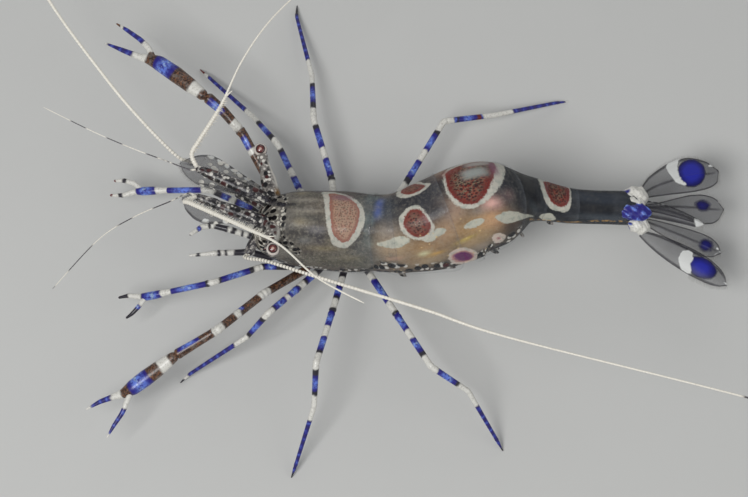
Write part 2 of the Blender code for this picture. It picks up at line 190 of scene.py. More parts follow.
def flowing_line(points: Sequence[Point], step: float) -> Array:
    """Runs a smooth line through the given points.

    Args:
        points: The points to pass through.
        step: Rough distance between the line's own points.

    Returns:
        The line's points, evenly spaced along it.
    """
    p = np.array(points, float)
    last = len(p) - 1
    dense = []
    for i in range(last):
        around = p[max(i - 1, 0)], p[i], p[i + 1], p[min(i + 2, last)]
        dense += [between(*around, t) for t in np.linspace(0, 1, PIECES_EACH_SPAN, endpoint=False)]
    return even_steps(np.array([*dense, p[-1]]), step)


def even_steps(line: Array, step: float) -> Array:
    """Returns the line's points again, spaced evenly and about step apart."""
    run = distance_along(line)
    wanted = np.linspace(0, run[-1], max(3, round(run[-1] / step) + 1))
    return np.stack([np.interp(wanted, run, line[:, k]) for k in range(3)], axis=1)


def distance_along(line: Array) -> Array:
    """Returns how far along the line each of its points lies."""
    return np.r_[0.0, np.cumsum(np.linalg.norm(np.diff(line, axis=0), axis=1))]


# ---------------------------------------------------------------- meshes


@dataclass
class Skin:
    """Points and faces of one piece, with the values that its finish reads at each point."""

    points: Array
    faces: list[tuple[int, ...]]
    values: dict[str, Array] = field(default_factory=dict)

    def joined(self, other: "Skin") -> "Skin":
        """Returns this skin and another as one."""
        offset = len(self.points)
        faces = self.faces + [tuple(i + offset for i in face) for face in other.faces]
        values = {name: np.concatenate([self.values[name], other.values[name]]) for name in self.values}
        return Skin(np.concatenate([self.points, other.points]), faces, values)

    def outward(self) -> "Skin":
        """Turns every face round if the closed skin is inside out, and returns it."""
        volume = 0.0
        middle = self.points.mean(axis=0)
        for face in self.faces:
            a, b, c = (self.points[face[i]] - middle for i in (0, 1, 2))
            volume += float(np.dot(a, np.cross(b, c)))
            if len(face) == 4:
                d = self.points[face[3]] - middle
                volume += float(np.dot(a, np.cross(c, d)))
        if volume < 0:
            self.faces = [face[::-1] for face in self.faces]
        return self


def tube_skin(rings: Array, values: dict[str, Array]) -> Skin:
    """Closes a row of rings into a tube with a point at the middle of each end.

    Args:
        rings: Points by ring and by place round the ring.
        values: For each name, one value for each point of each ring.

    Returns:
        The closed skin.
    """
    count, sides = rings.shape[:2]
    index = np.arange(count * sides).reshape(count, sides)
    following = np.roll(index, -1, axis=1)
    quads = np.stack([index[:-1], following[:-1], following[1:], index[1:]], axis=-1).reshape(-1, 4)
    faces = [tuple(quad) for quad in quads.tolist()]
    for ring, middle, turn in ((0, count * sides, -1), (count - 1, count * sides + 1, 1)):
        for a, b in zip(index[ring].tolist(), following[ring].tolist()):
            faces.append((a, b, middle)[::turn])
    filled = {}
    for name, value in values.items():
        ends = [value[ring].mean(axis=0).reshape(1, -1) for ring in (0, -1)]
        filled[name] = np.concatenate([value.reshape(count * sides, -1), *ends])
    points = np.concatenate([rings.reshape(-1, 3), rings[0].mean(axis=0)[None], rings[-1].mean(axis=0)[None]])
    return Skin(points, faces, filled).outward()


def sheet_skin(top: Array, bottom: Array, values: dict[str, Array]) -> Skin:
    """Closes two matching grids of points into one thin solid sheet.

    Args:
        top: Upper points, by row and column.
        bottom: Lower points, by row and column.
        values: For each name, one value for each point of a grid; both sides take the same.

    Returns:
        The closed skin.
    """
    rows, columns = top.shape[:2]
    count = rows * columns
    upper = np.arange(count).reshape(rows, columns)
    faces = []
    for grid, turn in ((upper, 1), (upper + count, -1)):
        quads = np.stack([grid[:-1, :-1], grid[1:, :-1], grid[1:, 1:], grid[:-1, 1:]], axis=-1).reshape(-1, 4)
        faces += [tuple(quad)[::turn] for quad in quads.tolist()]
    edge = [*upper[0, :-1], *upper[:-1, -1], *upper[-1, :0:-1], *upper[:0:-1, 0]]
    for a, b in zip(edge, edge[1:] + edge[:1]):
        faces.append((int(a), int(b), int(b + count), int(a + count)))
    both = {name: np.concatenate([value.reshape(count, -1)] * 2) for name, value in values.items()}
    return Skin(np.concatenate([top.reshape(-1, 3), bottom.reshape(-1, 3)]), faces, both).outward()


def hold_values(mesh: bpy.types.Mesh, values: dict[str, Array]) -> None:
    """Stores values on the mesh's points: single numbers, vectors of three or colours of four."""
    kinds = {1: ("FLOAT", "value"), 3: ("FLOAT_VECTOR", "vector"), 4: ("FLOAT_COLOR", "color")}
    for label, value in values.items():
        kind, key = kinds[value.shape[1]]
        mesh.attributes.new(label, kind, "POINT").data.foreach_set(key, value.astype(np.float32).ravel())


def mesh_object(name: str, skin: Skin, finish: Material) -> bpy.types.Object:
    """Makes a smooth-shaded object at the origin from a skin in design coordinates.

    Args:
        name: The object's name.
        skin: Its points, faces and values.
        finish: Its material.

    Returns:
        The new object.
    """
    mesh = bpy.data.meshes.new(name)
    mesh.from_pydata(place(skin.points).tolist(), [], skin.faces)
    hold_values(mesh, skin.values)
    mesh.materials.append(finish)
    mesh.shade_smooth()
    mesh.set_sharp_from_angle(angle=SHARP_ANGLE)
    made = bpy.data.objects.new(name, mesh)
    bpy.context.scene.collection.objects.link(made)
    return made


def settle(piece: bpy.types.Object, slot: str, *nodes: str) -> None:
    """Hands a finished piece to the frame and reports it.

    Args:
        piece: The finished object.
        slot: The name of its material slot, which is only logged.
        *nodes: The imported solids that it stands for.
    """
    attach(piece, "root")
    if nodes:
        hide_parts(*nodes)
    faces = len(piece.data.polygons)
    log.info("%s: %d faces, slot %s, stands for %s", piece.name, faces, slot, nodes or "nothing")


class Side(Enum):
    """A side of the animal, with the sign of its arcs and of its Y."""

    LEFT = -1
    RIGHT = 1

    @property
    def word(self) -> str:
        """The side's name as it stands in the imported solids."""
        return self.name.lower()


# ---------------------------------------------------------------- finishes


class Palette:
    """One material round a Principled shader, coloured a layer at a time, like a painter of models."""

    def __init__(
        self, name: str, roughness: float, coat: float = 0.0, coat_roughness: float = 0.1, more: dict | None = None
    ) -> None:
        """Starts the material.

        Args:
            name: The material's name.
            roughness: The shader's own roughness.
            coat: Weight of the clear wet layer over it.
            coat_roughness: Roughness of that layer.
            more: Values of the shader's other sockets.
        """
        self.material = bpy.data.materials.new(name)
        self.material.use_nodes = True
        self.tree = self.material.node_tree
        self.shader = self.tree.nodes["Principled BSDF"]
        values = {"Roughness": roughness, "Metallic": 0.0, "Coat Weight": coat, "Coat Roughness": coat_roughness}
        for socket, value in (values | (more or {})).items():
            self.shader.inputs[socket].default_value = value
        self.where = add(self.tree, "ShaderNodeTexCoord").outputs["Object"]

    def value(self, name: str, output: str = "Fac") -> Socket:
        """Returns the piece's own value of this name."""
        return add(self.tree, "ShaderNodeAttribute", attribute_name=name).outputs[output]

    def cells(self, size_mm: float, output: str = "Distance", jitter: float = 1.0, lie: Socket | None = None) -> Socket:
        """Returns a cell pattern's output.

        Args:
            size_mm: Width of a cell.
            output: Distance from each cell's middle, or a Color for each cell.
            jitter: How unevenly the cells lie.
            lie: Flat coordinates along the skin, where whole round cells are wanted.

        Returns:
            The pattern's socket.
        """
        links = {"Vector": lie or self.where, "Scale": per_metre(size_mm), "Randomness": jitter}
        made = add(self.tree, "ShaderNodeTexVoronoi", links, voronoi_dimensions="2D" if lie else "3D")
        return made.outputs[output]

    def noise(self, size_mm: float, detail: float = 3.0) -> Socket:
        """Returns soft noise, about 0.5 on average, with lumps size_mm wide."""
        links = {"Vector": self.where, "Scale": per_metre(size_mm), "Detail": detail, "Roughness": 0.6}
        return add(self.tree, "ShaderNodeTexNoise", links).outputs["Fac"]

    def wobble(self, size_mm: float, reach: float, detail: float = 3.0) -> Socket:
        """Returns soft noise about 0, with lumps size_mm wide, that spans reach."""
        return self.times(self.maths("SUBTRACT", self.noise(size_mm, detail), 0.5), reach)

    def maths(self, operation: str, *inputs: object) -> Socket:
        """Returns the result of a sum on sockets or numbers."""
        return add(self.tree, "ShaderNodeMath", dict(enumerate(inputs)), operation=operation).outputs[0]

    def times(self, *inputs: object) -> Socket:
        """Returns the product of sockets or numbers."""
        product = inputs[0]
        for other in inputs[1:]:
            product = self.maths("MULTIPLY", product, other)
        return product

    def ramp(self, value: Socket, low: float, high: float) -> Socket:
        """Returns 0 where value is at low and 1 where it is at high, held to that range."""
        return self.spread(value, 0.0, 1.0, low, high)

    def spread(self, value: Socket, first: float, last: float, low: float = 0.0, high: float = 1.0) -> Socket:
        """Returns first where value is at low and last where it is at high, held to that range."""
        links = {"Value": value, "From Min": low, "From Max": high, "To Min": first, "To Max": last}
        return add(self.tree, "ShaderNodeMapRange", links, clamp=True).outputs["Result"]

    def start(self, paint: object) -> None:
        """Sets the first coat, a hex colour or a socket."""
        if isinstance(paint, str):
            colour = linear(paint)
            paint = add(self.tree, "ShaderNodeMix", {0: 0.0, 6: colour, 7: colour}, data_type="RGBA").outputs[2]
        self.colour = paint

    def lay(self, paint: object, *shares: object) -> None:
        """Lays paint over the colour so far.

        Args:
            paint: A hex colour or a socket.
            *shares: Sockets or numbers whose product is how much of it covers.
        """
        paint = linear(paint) if isinstance(paint, str) else paint
        links = {0: self.times(*shares), 6: self.colour, 7: paint}
        self.colour = add(self.tree, "ShaderNodeMix", links, data_type="RGBA").outputs[2]

    def mottled(self, share: object, size_mm: float, light: str, dark: str) -> None:
        """Darkens and lightens the colour so far in soft lumps.

        Args:
            share: The most that either covers, a socket or a number.
            size_mm: Width of a lump.
            light: Hex colour of the light lumps.
            dark: Hex colour of the dark lumps.
        """
        lumps = self.noise(size_mm)
        self.lay(light, self.ramp(lumps, 0.5, 0.72), share)
        self.lay(dark, self.ramp(lumps, 0.5, 0.28), share)

    def cover(self, share: Socket) -> None:
        """Links how solid the material is, where it is partly clear."""
        self.tree.links.new(share, self.shader.inputs["Alpha"])

    def finish(self, bump_mm: float = 0.0, bump_size_mm: float = 0.2) -> Material:
        """Links the colour to the shader, with a fine relief.

        Args:
            bump_mm: Height of the relief.
            bump_size_mm: Width of its lumps.

        Returns:
            The material.
        """
        self.tree.links.new(self.colour, self.shader.inputs["Base Color"])
        if bump_mm:
            links = {"Height": self.noise(bump_size_mm, 2.0), "Distance": bump_mm * MM, "Strength": 0.6}
            relief = add(self.tree, "ShaderNodeBump", links)
            self.tree.links.new(relief.outputs["Normal"], self.shader.inputs["Normal"])
        return self.material


@dataclass(frozen=True)
class FleshFinish:
    """Shrimp flesh seen through its thin wet skin: smoky and soft, with crisp spots of pigment and a few painted
    highlights.
    """

    bone: str = "#c9c5b8"
    brick: str = "#772a21"
    rust: str = "#a4705f"
    wine: str = "#5e2e27"
    umber: str = "#2a1413"
    vermilion: str = "#94301f"
    salmon: str = "#bd9880"
    moss: str = "#8d866c"
    violet: str = "#6d2f63"
    blush: str = "#c08d86"
    dark_red: str = "#4a0d10"
    black: str = "#0b080b"
    gold: str = "#c49a58"
    stipple_mm: float = 0.13  # from one dot to the next
    dot_mm: float = 0.36
    fleck_mm: float = 0.19
    crumb_mm: float = 0.2
    spark_mm: float = 0.3

    def make(self) -> Material:
        """Returns the finish as a material."""
        soft = {
            "Specular IOR Level": 0.1,
            "Subsurface Weight": 0.08,
            "Subsurface Radius": (1.0, 0.6, 0.5),
            "Subsurface Scale": 0.3 * MM,
        }
        paint = Palette("shrimp_flesh_under_wet_skin", 0.46, 0.05, 0.12, soft)
        paint.start(paint.value("tone", "Color"))
        # Muscle and gut show as soft lumps of lighter and darker smoke.
        lumpy = paint.value("lumpy")
        paint.mottled(paint.times(lumpy, 0.22), 0.55, "#948d80", "#1d1b20")
        paint.mottled(paint.times(lumpy, 0.2), 0.13, "#b3ad98", "#161418")
        lie = paint.value("lie", "Vector")
        self._head_speckles(paint, lie)
        self._margin(paint, lie)
        wobble = paint.maths("ADD", paint.wobble(0.25, 0.16), paint.wobble(0.07, 0.13, 1.0))
        for patch, colour in (("blotch", "#c8c6b6"), ("patch_edge", self.bone), ("ocellus_edge", "#dccabc")):
            share = paint.ramp(paint.maths("ADD", paint.value(patch), wobble), -0.02, 0.035)
            paint.lay(colour, share)
            # The white is laid on in crumbs, with greener and greyer gaps between them.
            paint.lay("#8b968d", share, paint.ramp(paint.noise(0.22), 0.48, 0.7), 0.65)
        self._patch_middles(paint, wobble, lie)
        depth = paint.maths("ADD", paint.value("ocellus_heart"), wobble)
        paint.lay(self.blush, paint.ramp(depth, -0.03, 0.05))
        paint.lay(self.violet, paint.ramp(depth, 0.05, 0.16))
        # Glazes over the spots, with the painted highlights on the hump among them.
        paint.lay(paint.value("glaze_and_highlight", "Color"), paint.value("glaze_and_highlight", "Alpha"))
        paint.lay(self.gold, paint.value("gilt"), paint.ramp(paint.cells(0.22), 0.62, 0.36))
        # Pale gold sparks over the belly's sides: painted glints, that is painted highlights.
        sparks = paint.ramp(paint.cells(self.spark_mm), 0.2, 0.12)
        kept = paint.ramp(paint.cells(self.spark_mm, "Color"), 0.55, 0.6)
        paint.lay("#e0c48c", paint.value("glint"), sparks, kept)
        return paint.finish(bump_mm=0.02, bump_size_mm=0.18)

    def _head_speckles(self, paint: Palette, lie: Socket) -> None:
        """Paints round black and dark red dots with small white ones between them over the head."""
        share = paint.value("speckle")
        flecks = paint.ramp(paint.cells(self.fleck_mm, lie=lie), 0.44, 0.32)
        kept = paint.ramp(paint.cells(self.fleck_mm, "Color", lie=lie), 0.45, 0.5)
        paint.lay("#cfcabd", flecks, kept, paint.ramp(share, 0.15, 0.8))
        dots = paint.ramp(paint.cells(self.dot_mm, jitter=0.75, lie=lie), 0.38, 0.32)
        kinds = paint.cells(self.dot_mm, "Color", 0.75, lie)
        # Further back, fewer and fewer of the dots are left.
        dots = paint.times(dots, paint.ramp(paint.maths("SUBTRACT", share, kinds), 0.0, 0.08))
        paint.lay(self.black, dots)
        paint.lay(self.dark_red, dots, paint.ramp(kinds, 0.22, 0.17))

    def _margin(self, paint: Palette, lie: Socket) -> None:
        """Paints the side flaps' lower edge with black and dark red dots and white crumbs between them."""
        share = paint.value("margin")
        # The dots are taller than wide, down the steep lower flank.
        links = {0: lie, 1: (1.0, 0.55, 1.0)}
        lie = add(paint.tree, "ShaderNodeVectorMath", links, operation="MULTIPLY").outputs["Vector"]
        paint.lay("#5b4d3f", share, 0.45)
        crumbs = paint.ramp(paint.cells(self.crumb_mm, lie=lie), 0.46, 0.34)
        paint.lay("#dad6cd", share, crumbs, paint.ramp(paint.cells(self.crumb_mm, "Color", lie=lie), 0.5, 0.54))
        dots = paint.times(share, paint.ramp(paint.cells(self.dot_mm, jitter=0.8, lie=lie), 0.4, 0.34))
        paint.lay(self.black, dots)
        paint.lay(self.dark_red, dots, paint.ramp(paint.cells(self.dot_mm, "Color", 0.8, lie), 0.74, 0.78))

    def _patch_middles(self, paint: Palette, wobble: Socket, lie: Socket) -> None:
        """Paints the patches' middles: a brick rim round a mossy field, stippled dark and red."""
        depth = paint.maths("ADD", paint.maths("ADD", paint.value("patch_heart"), 0.05), wobble)
        pale = paint.value("patch_pale")
        rim, inner = paint.ramp(depth, -0.03, 0.03), paint.ramp(depth, 0.05, 0.22)
        paint.lay(self.brick, rim)
        paint.lay(self.rust, rim, pale, 0.9)
        paint.lay(self.wine, inner, 0.75)
        paint.lay(self.salmon, inner, pale, 0.95)
        gaps = paint.ramp(paint.noise(0.1, 1.0), 0.4, 0.56)
        paint.lay(self.moss, paint.ramp(depth, 0.08, 0.4), paint.value("patch_moss"), gaps)
        kept = paint.maths("SUBTRACT", 1.0, paint.times(pale, 0.55))
        grains = paint.cells(self.stipple_mm, "Color", 0.85, lie)
        paint.lay(self.vermilion, inner, paint.ramp(grains, 0.62, 0.68), kept, 0.5)
        dots = paint.ramp(paint.cells(self.stipple_mm, jitter=0.85, lie=lie), 0.4, 0.28)
        paint.lay(self.umber, inner, dots, paint.ramp(grains, 0.2, 0.26), kept, 0.85)


@dataclass(frozen=True)
class ClearShellFinish:
    """Thin clear chitin: a faint blue-grey film with a wet shine, a little more solid at its rim, which shows each
    margin as a pale line that is partly a painted highlight.
    """

    colour: str = "#8f949c"
    film_cover: float = 0.05
    rim_and_glint_cover: float = 0.11

    def make(self) -> Material:
        """Returns the finish as a material."""
        paint = Palette("clear_chitin_shell", 0.14, coat=0.25, coat_roughness=0.06)
        # The more solid rim draws each margin as a pale line: the plate's edge, with a painted highlight along it.
        paint.cover(paint.spread(paint.value("rim"), self.film_cover, self.rim_and_glint_cover))
        paint.start(self.colour)
        paint.mottled(0.4, 0.3, "#c9cdd2", "#4a4c55")
        return paint.finish(bump_mm=0.01, bump_size_mm=0.15)


@dataclass(frozen=True)
class MembraneFinish:
    """Fin membrane: smoky clear chitin that turns solid where pigment lies in it."""

    name: str
    film: str
    film_cover: float
    pigment_cover: float = 0.97
    blue: str = "#23289c"
    deep: str = "#100c4c"
    white: str = "#d8d9d6"
    rib: str = "#2c2a30"
    fleck_mm: float = 0.32

    def make(self) -> Material:
        """Returns the finish as a material."""
        paint = Palette(self.name, 0.45, more={"Specular IOR Level": 0.3})
        paint.start(self.film)
        paint.mottled(0.5, 0.25, "#6d6f78", "#17161b")
        wobble = paint.wobble(0.22, 0.08, 1.0)
        rib = paint.value("rib")
        paint.lay(self.rib, rib, 0.8)
        depth = paint.maths("ADD", paint.value("blue"), wobble)
        blue = paint.ramp(depth, -0.03, 0.05)
        paint.lay(self.deep, blue)
        paint.lay(self.blue, paint.ramp(depth, 0.04, 0.32))
        white = paint.ramp(paint.maths("ADD", paint.value("white"), paint.times(wobble, 2.0)), -0.02, 0.04)
        paint.lay(self.white, white)
        flecks = paint.ramp(paint.cells(self.fleck_mm), 0.5, 0.4)
        fleck = paint.times(paint.value("fleck"), flecks, paint.ramp(paint.cells(self.fleck_mm, "Color"), 0.3, 0.35))
        paint.lay("#dedbd2", fleck)
        solid = blue
        for other in (white, fleck, paint.times(rib, 0.75)):
            solid = paint.maths("MAXIMUM", solid, other)
        paint.cover(paint.spread(solid, self.film_cover, self.pigment_cover))
        return paint.finish(bump_mm=0.015, bump_size_mm=0.12)


@dataclass(frozen=True)
class BandedFinish:
    """Leg chitin with bands of pigment: violet blue with pale hearts, bone white and stippled brown."""

    clear: str = "#2b2830"
    blue: str = "#231d80"
    glow: str = "#6c8ae6"
    pale: str = "#a9c3d6"
    white: str = "#e0ded6"
    brown: str = "#473226"
    amber: str = "#80553a"
    umber: str = "#20130f"
    red: str = "#6a1414"

    def make(self) -> Material:
        """Returns the finish as a material."""
        paint = Palette("banded_leg_chitin", 0.38, coat=0.18, coat_roughness=0.12)
        glow, white, brown = paint.value("glow"), paint.value("white"), paint.value("brown")
        grains = paint.cells(0.06, "Color")
        paint.start(self.clear)
        paint.lay(self.blue, paint.value("blue"))
        paint.lay(self.glow, glow, paint.ramp(paint.noise(0.16), 0.36, 0.58), 0.92)
        paint.lay(self.pale, paint.ramp(glow, 0.55, 0.95), paint.ramp(paint.noise(0.2), 0.52, 0.66), 0.7)
        paint.lay(self.white, white)
        paint.lay("#a19d95", white, paint.ramp(paint.noise(0.1), 0.5, 0.68), 0.55)
        paint.lay(self.brown, brown)
        paint.lay(self.amber, brown, paint.ramp(grains, 0.5, 0.85))
        paint.lay(self.umber, brown, paint.ramp(grains, 0.45, 0.15))
        paint.lay("#7a7068", brown, paint.ramp(paint.noise(0.3), 0.52, 0.64), 0.6)
        paint.lay(self.red, paint.value("red"))
        return paint.finish(bump_mm=0.008, bump_size_mm=0.08)


@dataclass(frozen=True)
class FeelerFinish:
    """Feeler chitin: cream white rings, with clear smoky gaps where the pigment stops."""

    name: str = "cream_feeler_chitin"
    cream: str = "#f1ecdf"
    gap: str = "#4b474c"
    groove: str = "#5d5347"

    def make(self) -> Material:
        """Returns the finish as a material."""
        paint = Palette(self.name, 0.38, coat=0.2)
        paint.start(self.gap)
        white = paint.value("white")
        paint.lay(self.cream, white)
        paint.lay("#b7b0a2", white, paint.ramp(paint.noise(0.12), 0.5, 0.7), 0.3)
        paint.lay(self.groove, paint.ramp(paint.value("groove"), -0.15, -0.95))
        return paint.finish(bump_mm=0.004, bump_size_mm=0.05)


@dataclass(frozen=True)
class SpeckledFinish:
    """Head chitin: smoky clear ground crowded with small white dots and black and dark red ones."""

    name: str = "speckled_head_chitin"
    ground: str = "#3a373b"
    fleck: str = "#d3cfc6"
    dot: str = "#0b080c"
    red: str = "#42100f"
    fleck_mm: float = 0.22
    fleck_share: float = 0.36  # the share of the white dots that is left out
    fleck_size: float = 0.38  # radius of a white dot, as a share of its cell
    dot_mm: float = 0.33
    dot_size: float = 0.45  # radius of a dark dot, as a share of its cell

    def make(self) -> Material:
        """Returns the finish as a material."""
        paint = Palette(self.name, 0.36, coat=0.22, coat_roughness=0.1)
        paint.start(self.ground)
        paint.mottled(0.85, 0.3, "#8b8681", "#1a171b")
        paint.lay("#b5b0a9", paint.ramp(paint.cells(0.09, "Color"), 0.66, 0.74), 0.65)
        dots = paint.ramp(paint.cells(self.dot_mm, jitter=0.85), self.dot_size + 0.05, self.dot_size - 0.05)
        paint.lay(self.dot, dots)
        paint.lay(self.red, dots, paint.ramp(paint.cells(self.dot_mm, "Color", 0.85), 0.64, 0.7))
        flecks = paint.ramp(paint.cells(self.fleck_mm), self.fleck_size + 0.06, self.fleck_size - 0.06)
        kept = paint.ramp(paint.cells(self.fleck_mm, "Color"), self.fleck_share - 0.03, self.fleck_share + 0.03)
        paint.lay(self.fleck, flecks, kept, paint.maths("SUBTRACT", 1.0, paint.times(dots, 0.9)))
        paint.lay(self.fleck, paint.value("white"))
        paint.lay("#7d5a22", paint.value("amber"))
        return paint.finish(bump_mm=0.012, bump_size_mm=0.1)


@dataclass(frozen=True)
class EyeFinish:
    """Eye: a pale heart, partly a painted highlight, a dark red ring, a white ring of painted light at the eye's edge
    and a dark rim of painted shade, under a grey cornea.
    """

    # The pale heart is partly a painted highlight, the lamp's reflection in the cornea.
    heart: str = "#d8b3a4"
    # for each ring, the angles from the eye's axis between which it fades in, in radians
    rings: tuple[tuple[float, float, str], ...] = (
        (0.15, 0.27, "#640c0a"),
        (0.45, 0.64, "#2a0405"),
        # A white ring of painted light, where the eye's edge catches the light.
        (0.74, 0.82, "#f0e6dc"),
        (1.2, 1.36, "#857671"),
        # The darkest, outermost ring is painted shade at the eye's rim.
        (1.46, 1.62, "#2f2728"),
    )

    def make(self) -> Material:
        """Returns the finish as a material."""
        paint = Palette("ringed_compound_eye", 0.22, coat=0.5, coat_roughness=0.04)
        turn = paint.maths("ADD", paint.value("turn"), paint.wobble(0.09, 0.14))
        paint.start(self.heart)
        for low, high, colour in self.rings:
            paint.lay(colour, paint.ramp(turn, low, high))
        paint.lay("#2b1416", paint.ramp(paint.cells(0.05, jitter=0.3), 0.35, 0.5), 0.25)
        return paint.finish()


def cornea_finish() -> Material:
    """Returns the cornea's material, a clear glossy skin over the eye."""
    paint = Palette("clear_cornea", 0.03, coat=1.0, coat_roughness=0.02, more={"Alpha": 0.06})
    paint.start("#a7a19c")
    paint.mottled(0.3, 0.1, "#d8d4d0", "#6c6463")
    return paint.finish()


# ---------------------------------------------------------------- grown pieces (Geometry Nodes)


@dataclass
class GrowthTree:
    """A Geometry Nodes tree that turns guide lines into a plain mesh."""

    name: str
    sizes: dict[str, tuple[str, object]]  # for each input, its socket type and starting value

    def __post_init__(self) -> None:
        """Makes the tree with its named inputs and its output."""
        self.tree = bpy.data.node_groups.new(self.name, "GeometryNodeTree")
        face = self.tree.interface
        face.new_socket("Geometry", in_out="INPUT", socket_type="NodeSocketGeometry")
        for label, (kind, value) in self.sizes.items():
            face.new_socket(label, in_out="INPUT", socket_type=kind).default_value = value
        face.new_socket("Finish", in_out="INPUT", socket_type="NodeSocketMaterial")
        face.new_socket("Geometry", in_out="OUTPUT", socket_type="NodeSocketGeometry")
        self.given = add(self.tree, "NodeGroupInput").outputs

    def node(self, kind: str, links: dict | None = None, output: int = 0, **settings: object) -> Socket:
        """Adds a node and returns one of its outputs."""
        return add(self.tree, kind, links, **settings).outputs[output]

    def maths(self, operation: str, *inputs: object) -> Socket:
        """Returns the result of a sum on sockets or numbers."""
        return self.node("ShaderNodeMath", dict(enumerate(inputs)), operation=operation)

    def named(self, label: str, kind: str = "FLOAT") -> Socket:
        """Returns the guide's own value of this name."""
        return self.node("GeometryNodeInputNamedAttribute", {"Name": label}, data_type=kind)

    def stepped(self, step: Socket) -> Socket:
        """Returns the guide lines as curves with a point every step."""
        curve = self.node("GeometryNodeMeshToCurve", {"Mesh": self.given["Geometry"]})
        return self.node("GeometryNodeResampleCurve", {"Curve": curve, "Length": step}, mode="LENGTH")

    def close(self, geometry: Socket) -> None:
        """Ends the tree in real geometry with the finish set."""
        real = self.node("GeometryNodeRealizeInstances", {"Geometry": geometry})
        smooth = self.node("GeometryNodeSetShadeSmooth", {"Geometry": real, "Shade Smooth": True})
        dressed = self.node("GeometryNodeSetMaterial", {"Geometry": smooth, "Material": self.given["Finish"]})
        add(self.tree, "NodeGroupOutput", {"Geometry": dressed})

    def grow(self, name: str, guide: Skin, inputs: dict[str, object]) -> bpy.types.Object:
        """Grows a plain mesh object along the guide lines.

        Args:
            name: The new object's name.
            guide: Points in design coordinates, with edges for faces, and their values.
            inputs: A value for each named input.

        Returns:
            The new object, without its modifier.
        """
        mesh = bpy.data.meshes.new(name + "_guide")
        mesh.from_pydata(place(guide.points).tolist(), guide.faces, [])
        hold_values(mesh, guide.values)
        made = bpy.data.objects.new(name, mesh)
        bpy.context.scene.collection.objects.link(made)
        modifier = made.modifiers.new(self.name, "NODES")
        modifier.node_group = self.tree
        for item in self.tree.interface.items_tree:
            if item.in_out == "INPUT" and item.name in inputs:
                modifier[item.identifier] = inputs[item.name]
        plain = bpy.data.meshes.new_from_object(made.evaluated_get(bpy.context.evaluated_depsgraph_get()))
        made.modifiers.remove(modifier)
        made.data = plain
        plain.name = name
        bpy.data.meshes.remove(mesh)
        return made


class RingedFeelerTree(GrowthTree):
    """A feeler built of many short rings along its guide line."""

    def __init__(self) -> None:
        """Builds the tree."""
        sizes = {"Ring length": ("NodeSocketFloat", 0.0001), "Ring swell": ("NodeSocketFloat", 0.1)}
        super().__init__("ringed_feeler", sizes | {"Sides": ("NodeSocketInt", 8)})
        ring, swell = self.given["Ring length"], self.given["Ring swell"]
        line = self.stepped(self.maths("MULTIPLY", ring, 0.25))
        run = self.node("GeometryNodeSplineParameter", output=1)
        wave = self.maths("SINE", self.maths("MULTIPLY", self.maths("DIVIDE", run, ring), 2 * math.pi))
        radius = self.maths("MULTIPLY", self.named("thick"), self.maths("MULTIPLY_ADD", wave, swell, 1.0))
        links = {"Geometry": line, "Name": "groove", "Value": self.maths("MULTIPLY", wave, self.named("ringed"))}
        marked = self.node("GeometryNodeStoreNamedAttribute", links, data_type="FLOAT", domain="POINT")
        sized = self.node("GeometryNodeSetCurveRadius", {"Curve": marked, "Radius": radius})
        links = {"Resolution": self.given["Sides"], "Radius": 1.0}
        circle = self.node("GeometryNodeCurvePrimitiveCircle", links)
        swept = add(self.tree, "GeometryNodeCurveToMesh", {"Curve": sized, "Profile Curve": circle, "Fill Caps": True})
        if "Scale" in swept.inputs:
            self.tree.links.new(radius, swept.inputs["Scale"])
        self.close(swept.outputs[0])


class BristleTree(GrowthTree):
    """Fine tapered bristles that stand along a guide line."""

    def __init__(self) -> None:
        """Builds the tree."""
        sizes = {"Spacing": 0.0001, "Thickness": 0.00003, "Splay": 0.2}
        sizes = {label: ("NodeSocketFloat", value) for label, value in sizes.items()}
        super().__init__("bristle_fringe", sizes | {"Seed": ("NodeSocketInt", 3)})
        thickness, seed = self.given["Thickness"], self.given["Seed"]
        line = self.stepped(self.given["Spacing"])
        links = {"Vertices": 4, "Side Segments": 1, "Radius Top": 0.12, "Radius Bottom": 0.5, "Depth": 1.0}
        cone = self.node("GeometryNodeMeshCone", links)
        links = {"Min": (-1.0, -1.0, -1.0), "Max": (1.0, 1.0, 1.0), "Seed": seed}
        stray = self.node("FunctionNodeRandomValue", links, data_type="FLOAT_VECTOR")
        stray = self.node("ShaderNodeVectorMath", {0: stray, "Scale": self.given["Splay"]}, operation="SCALE")
        links = {0: self.named("out", "FLOAT_VECTOR"), 1: stray}
        heading = self.node("ShaderNodeVectorMath", links, operation="ADD")
        turn = self.node("FunctionNodeAlignRotationToVector", {"Vector": heading}, axis="Z")
        vary = self.node("FunctionNodeRandomValue", {2: 0.7, 3: 1.15, "Seed": seed}, 1, data_type="FLOAT")
        length = self.maths("MULTIPLY", self.named("reach"), vary)
        scale = self.node("ShaderNodeCombineXYZ", {"X": thickness, "Y": thickness, "Z": length})
        links = {"Points": line, "Instance": cone, "Rotation": turn, "Scale": scale}
        self.close(self.node("GeometryNodeInstanceOnPoints", links))


def guide_lines(lines: Iterable[Array], values: Iterable[dict[str, Array]]) -> Skin:
    """Joins several guide lines, with their values, into one skin whose faces are edges.

    Args:
        lines: The points of each line.
        values: The values of each line's points.

    Returns:
        The guide.
    """
    points, edges, held = [], [], {}
    count = 0
    for line, own in zip(lines, values):
        points.append(line)
        edges += [(count + i, count + i + 1) for i in range(len(line) - 1)]
        count += len(line)
        for name, value in own.items():
            held.setdefault(name, []).append(value.reshape(len(line), -1))
    return Skin(np.concatenate(points), edges, {name: np.concatenate(value) for name, value in held.items()})


# ---------------------------------------------------------------- trunk


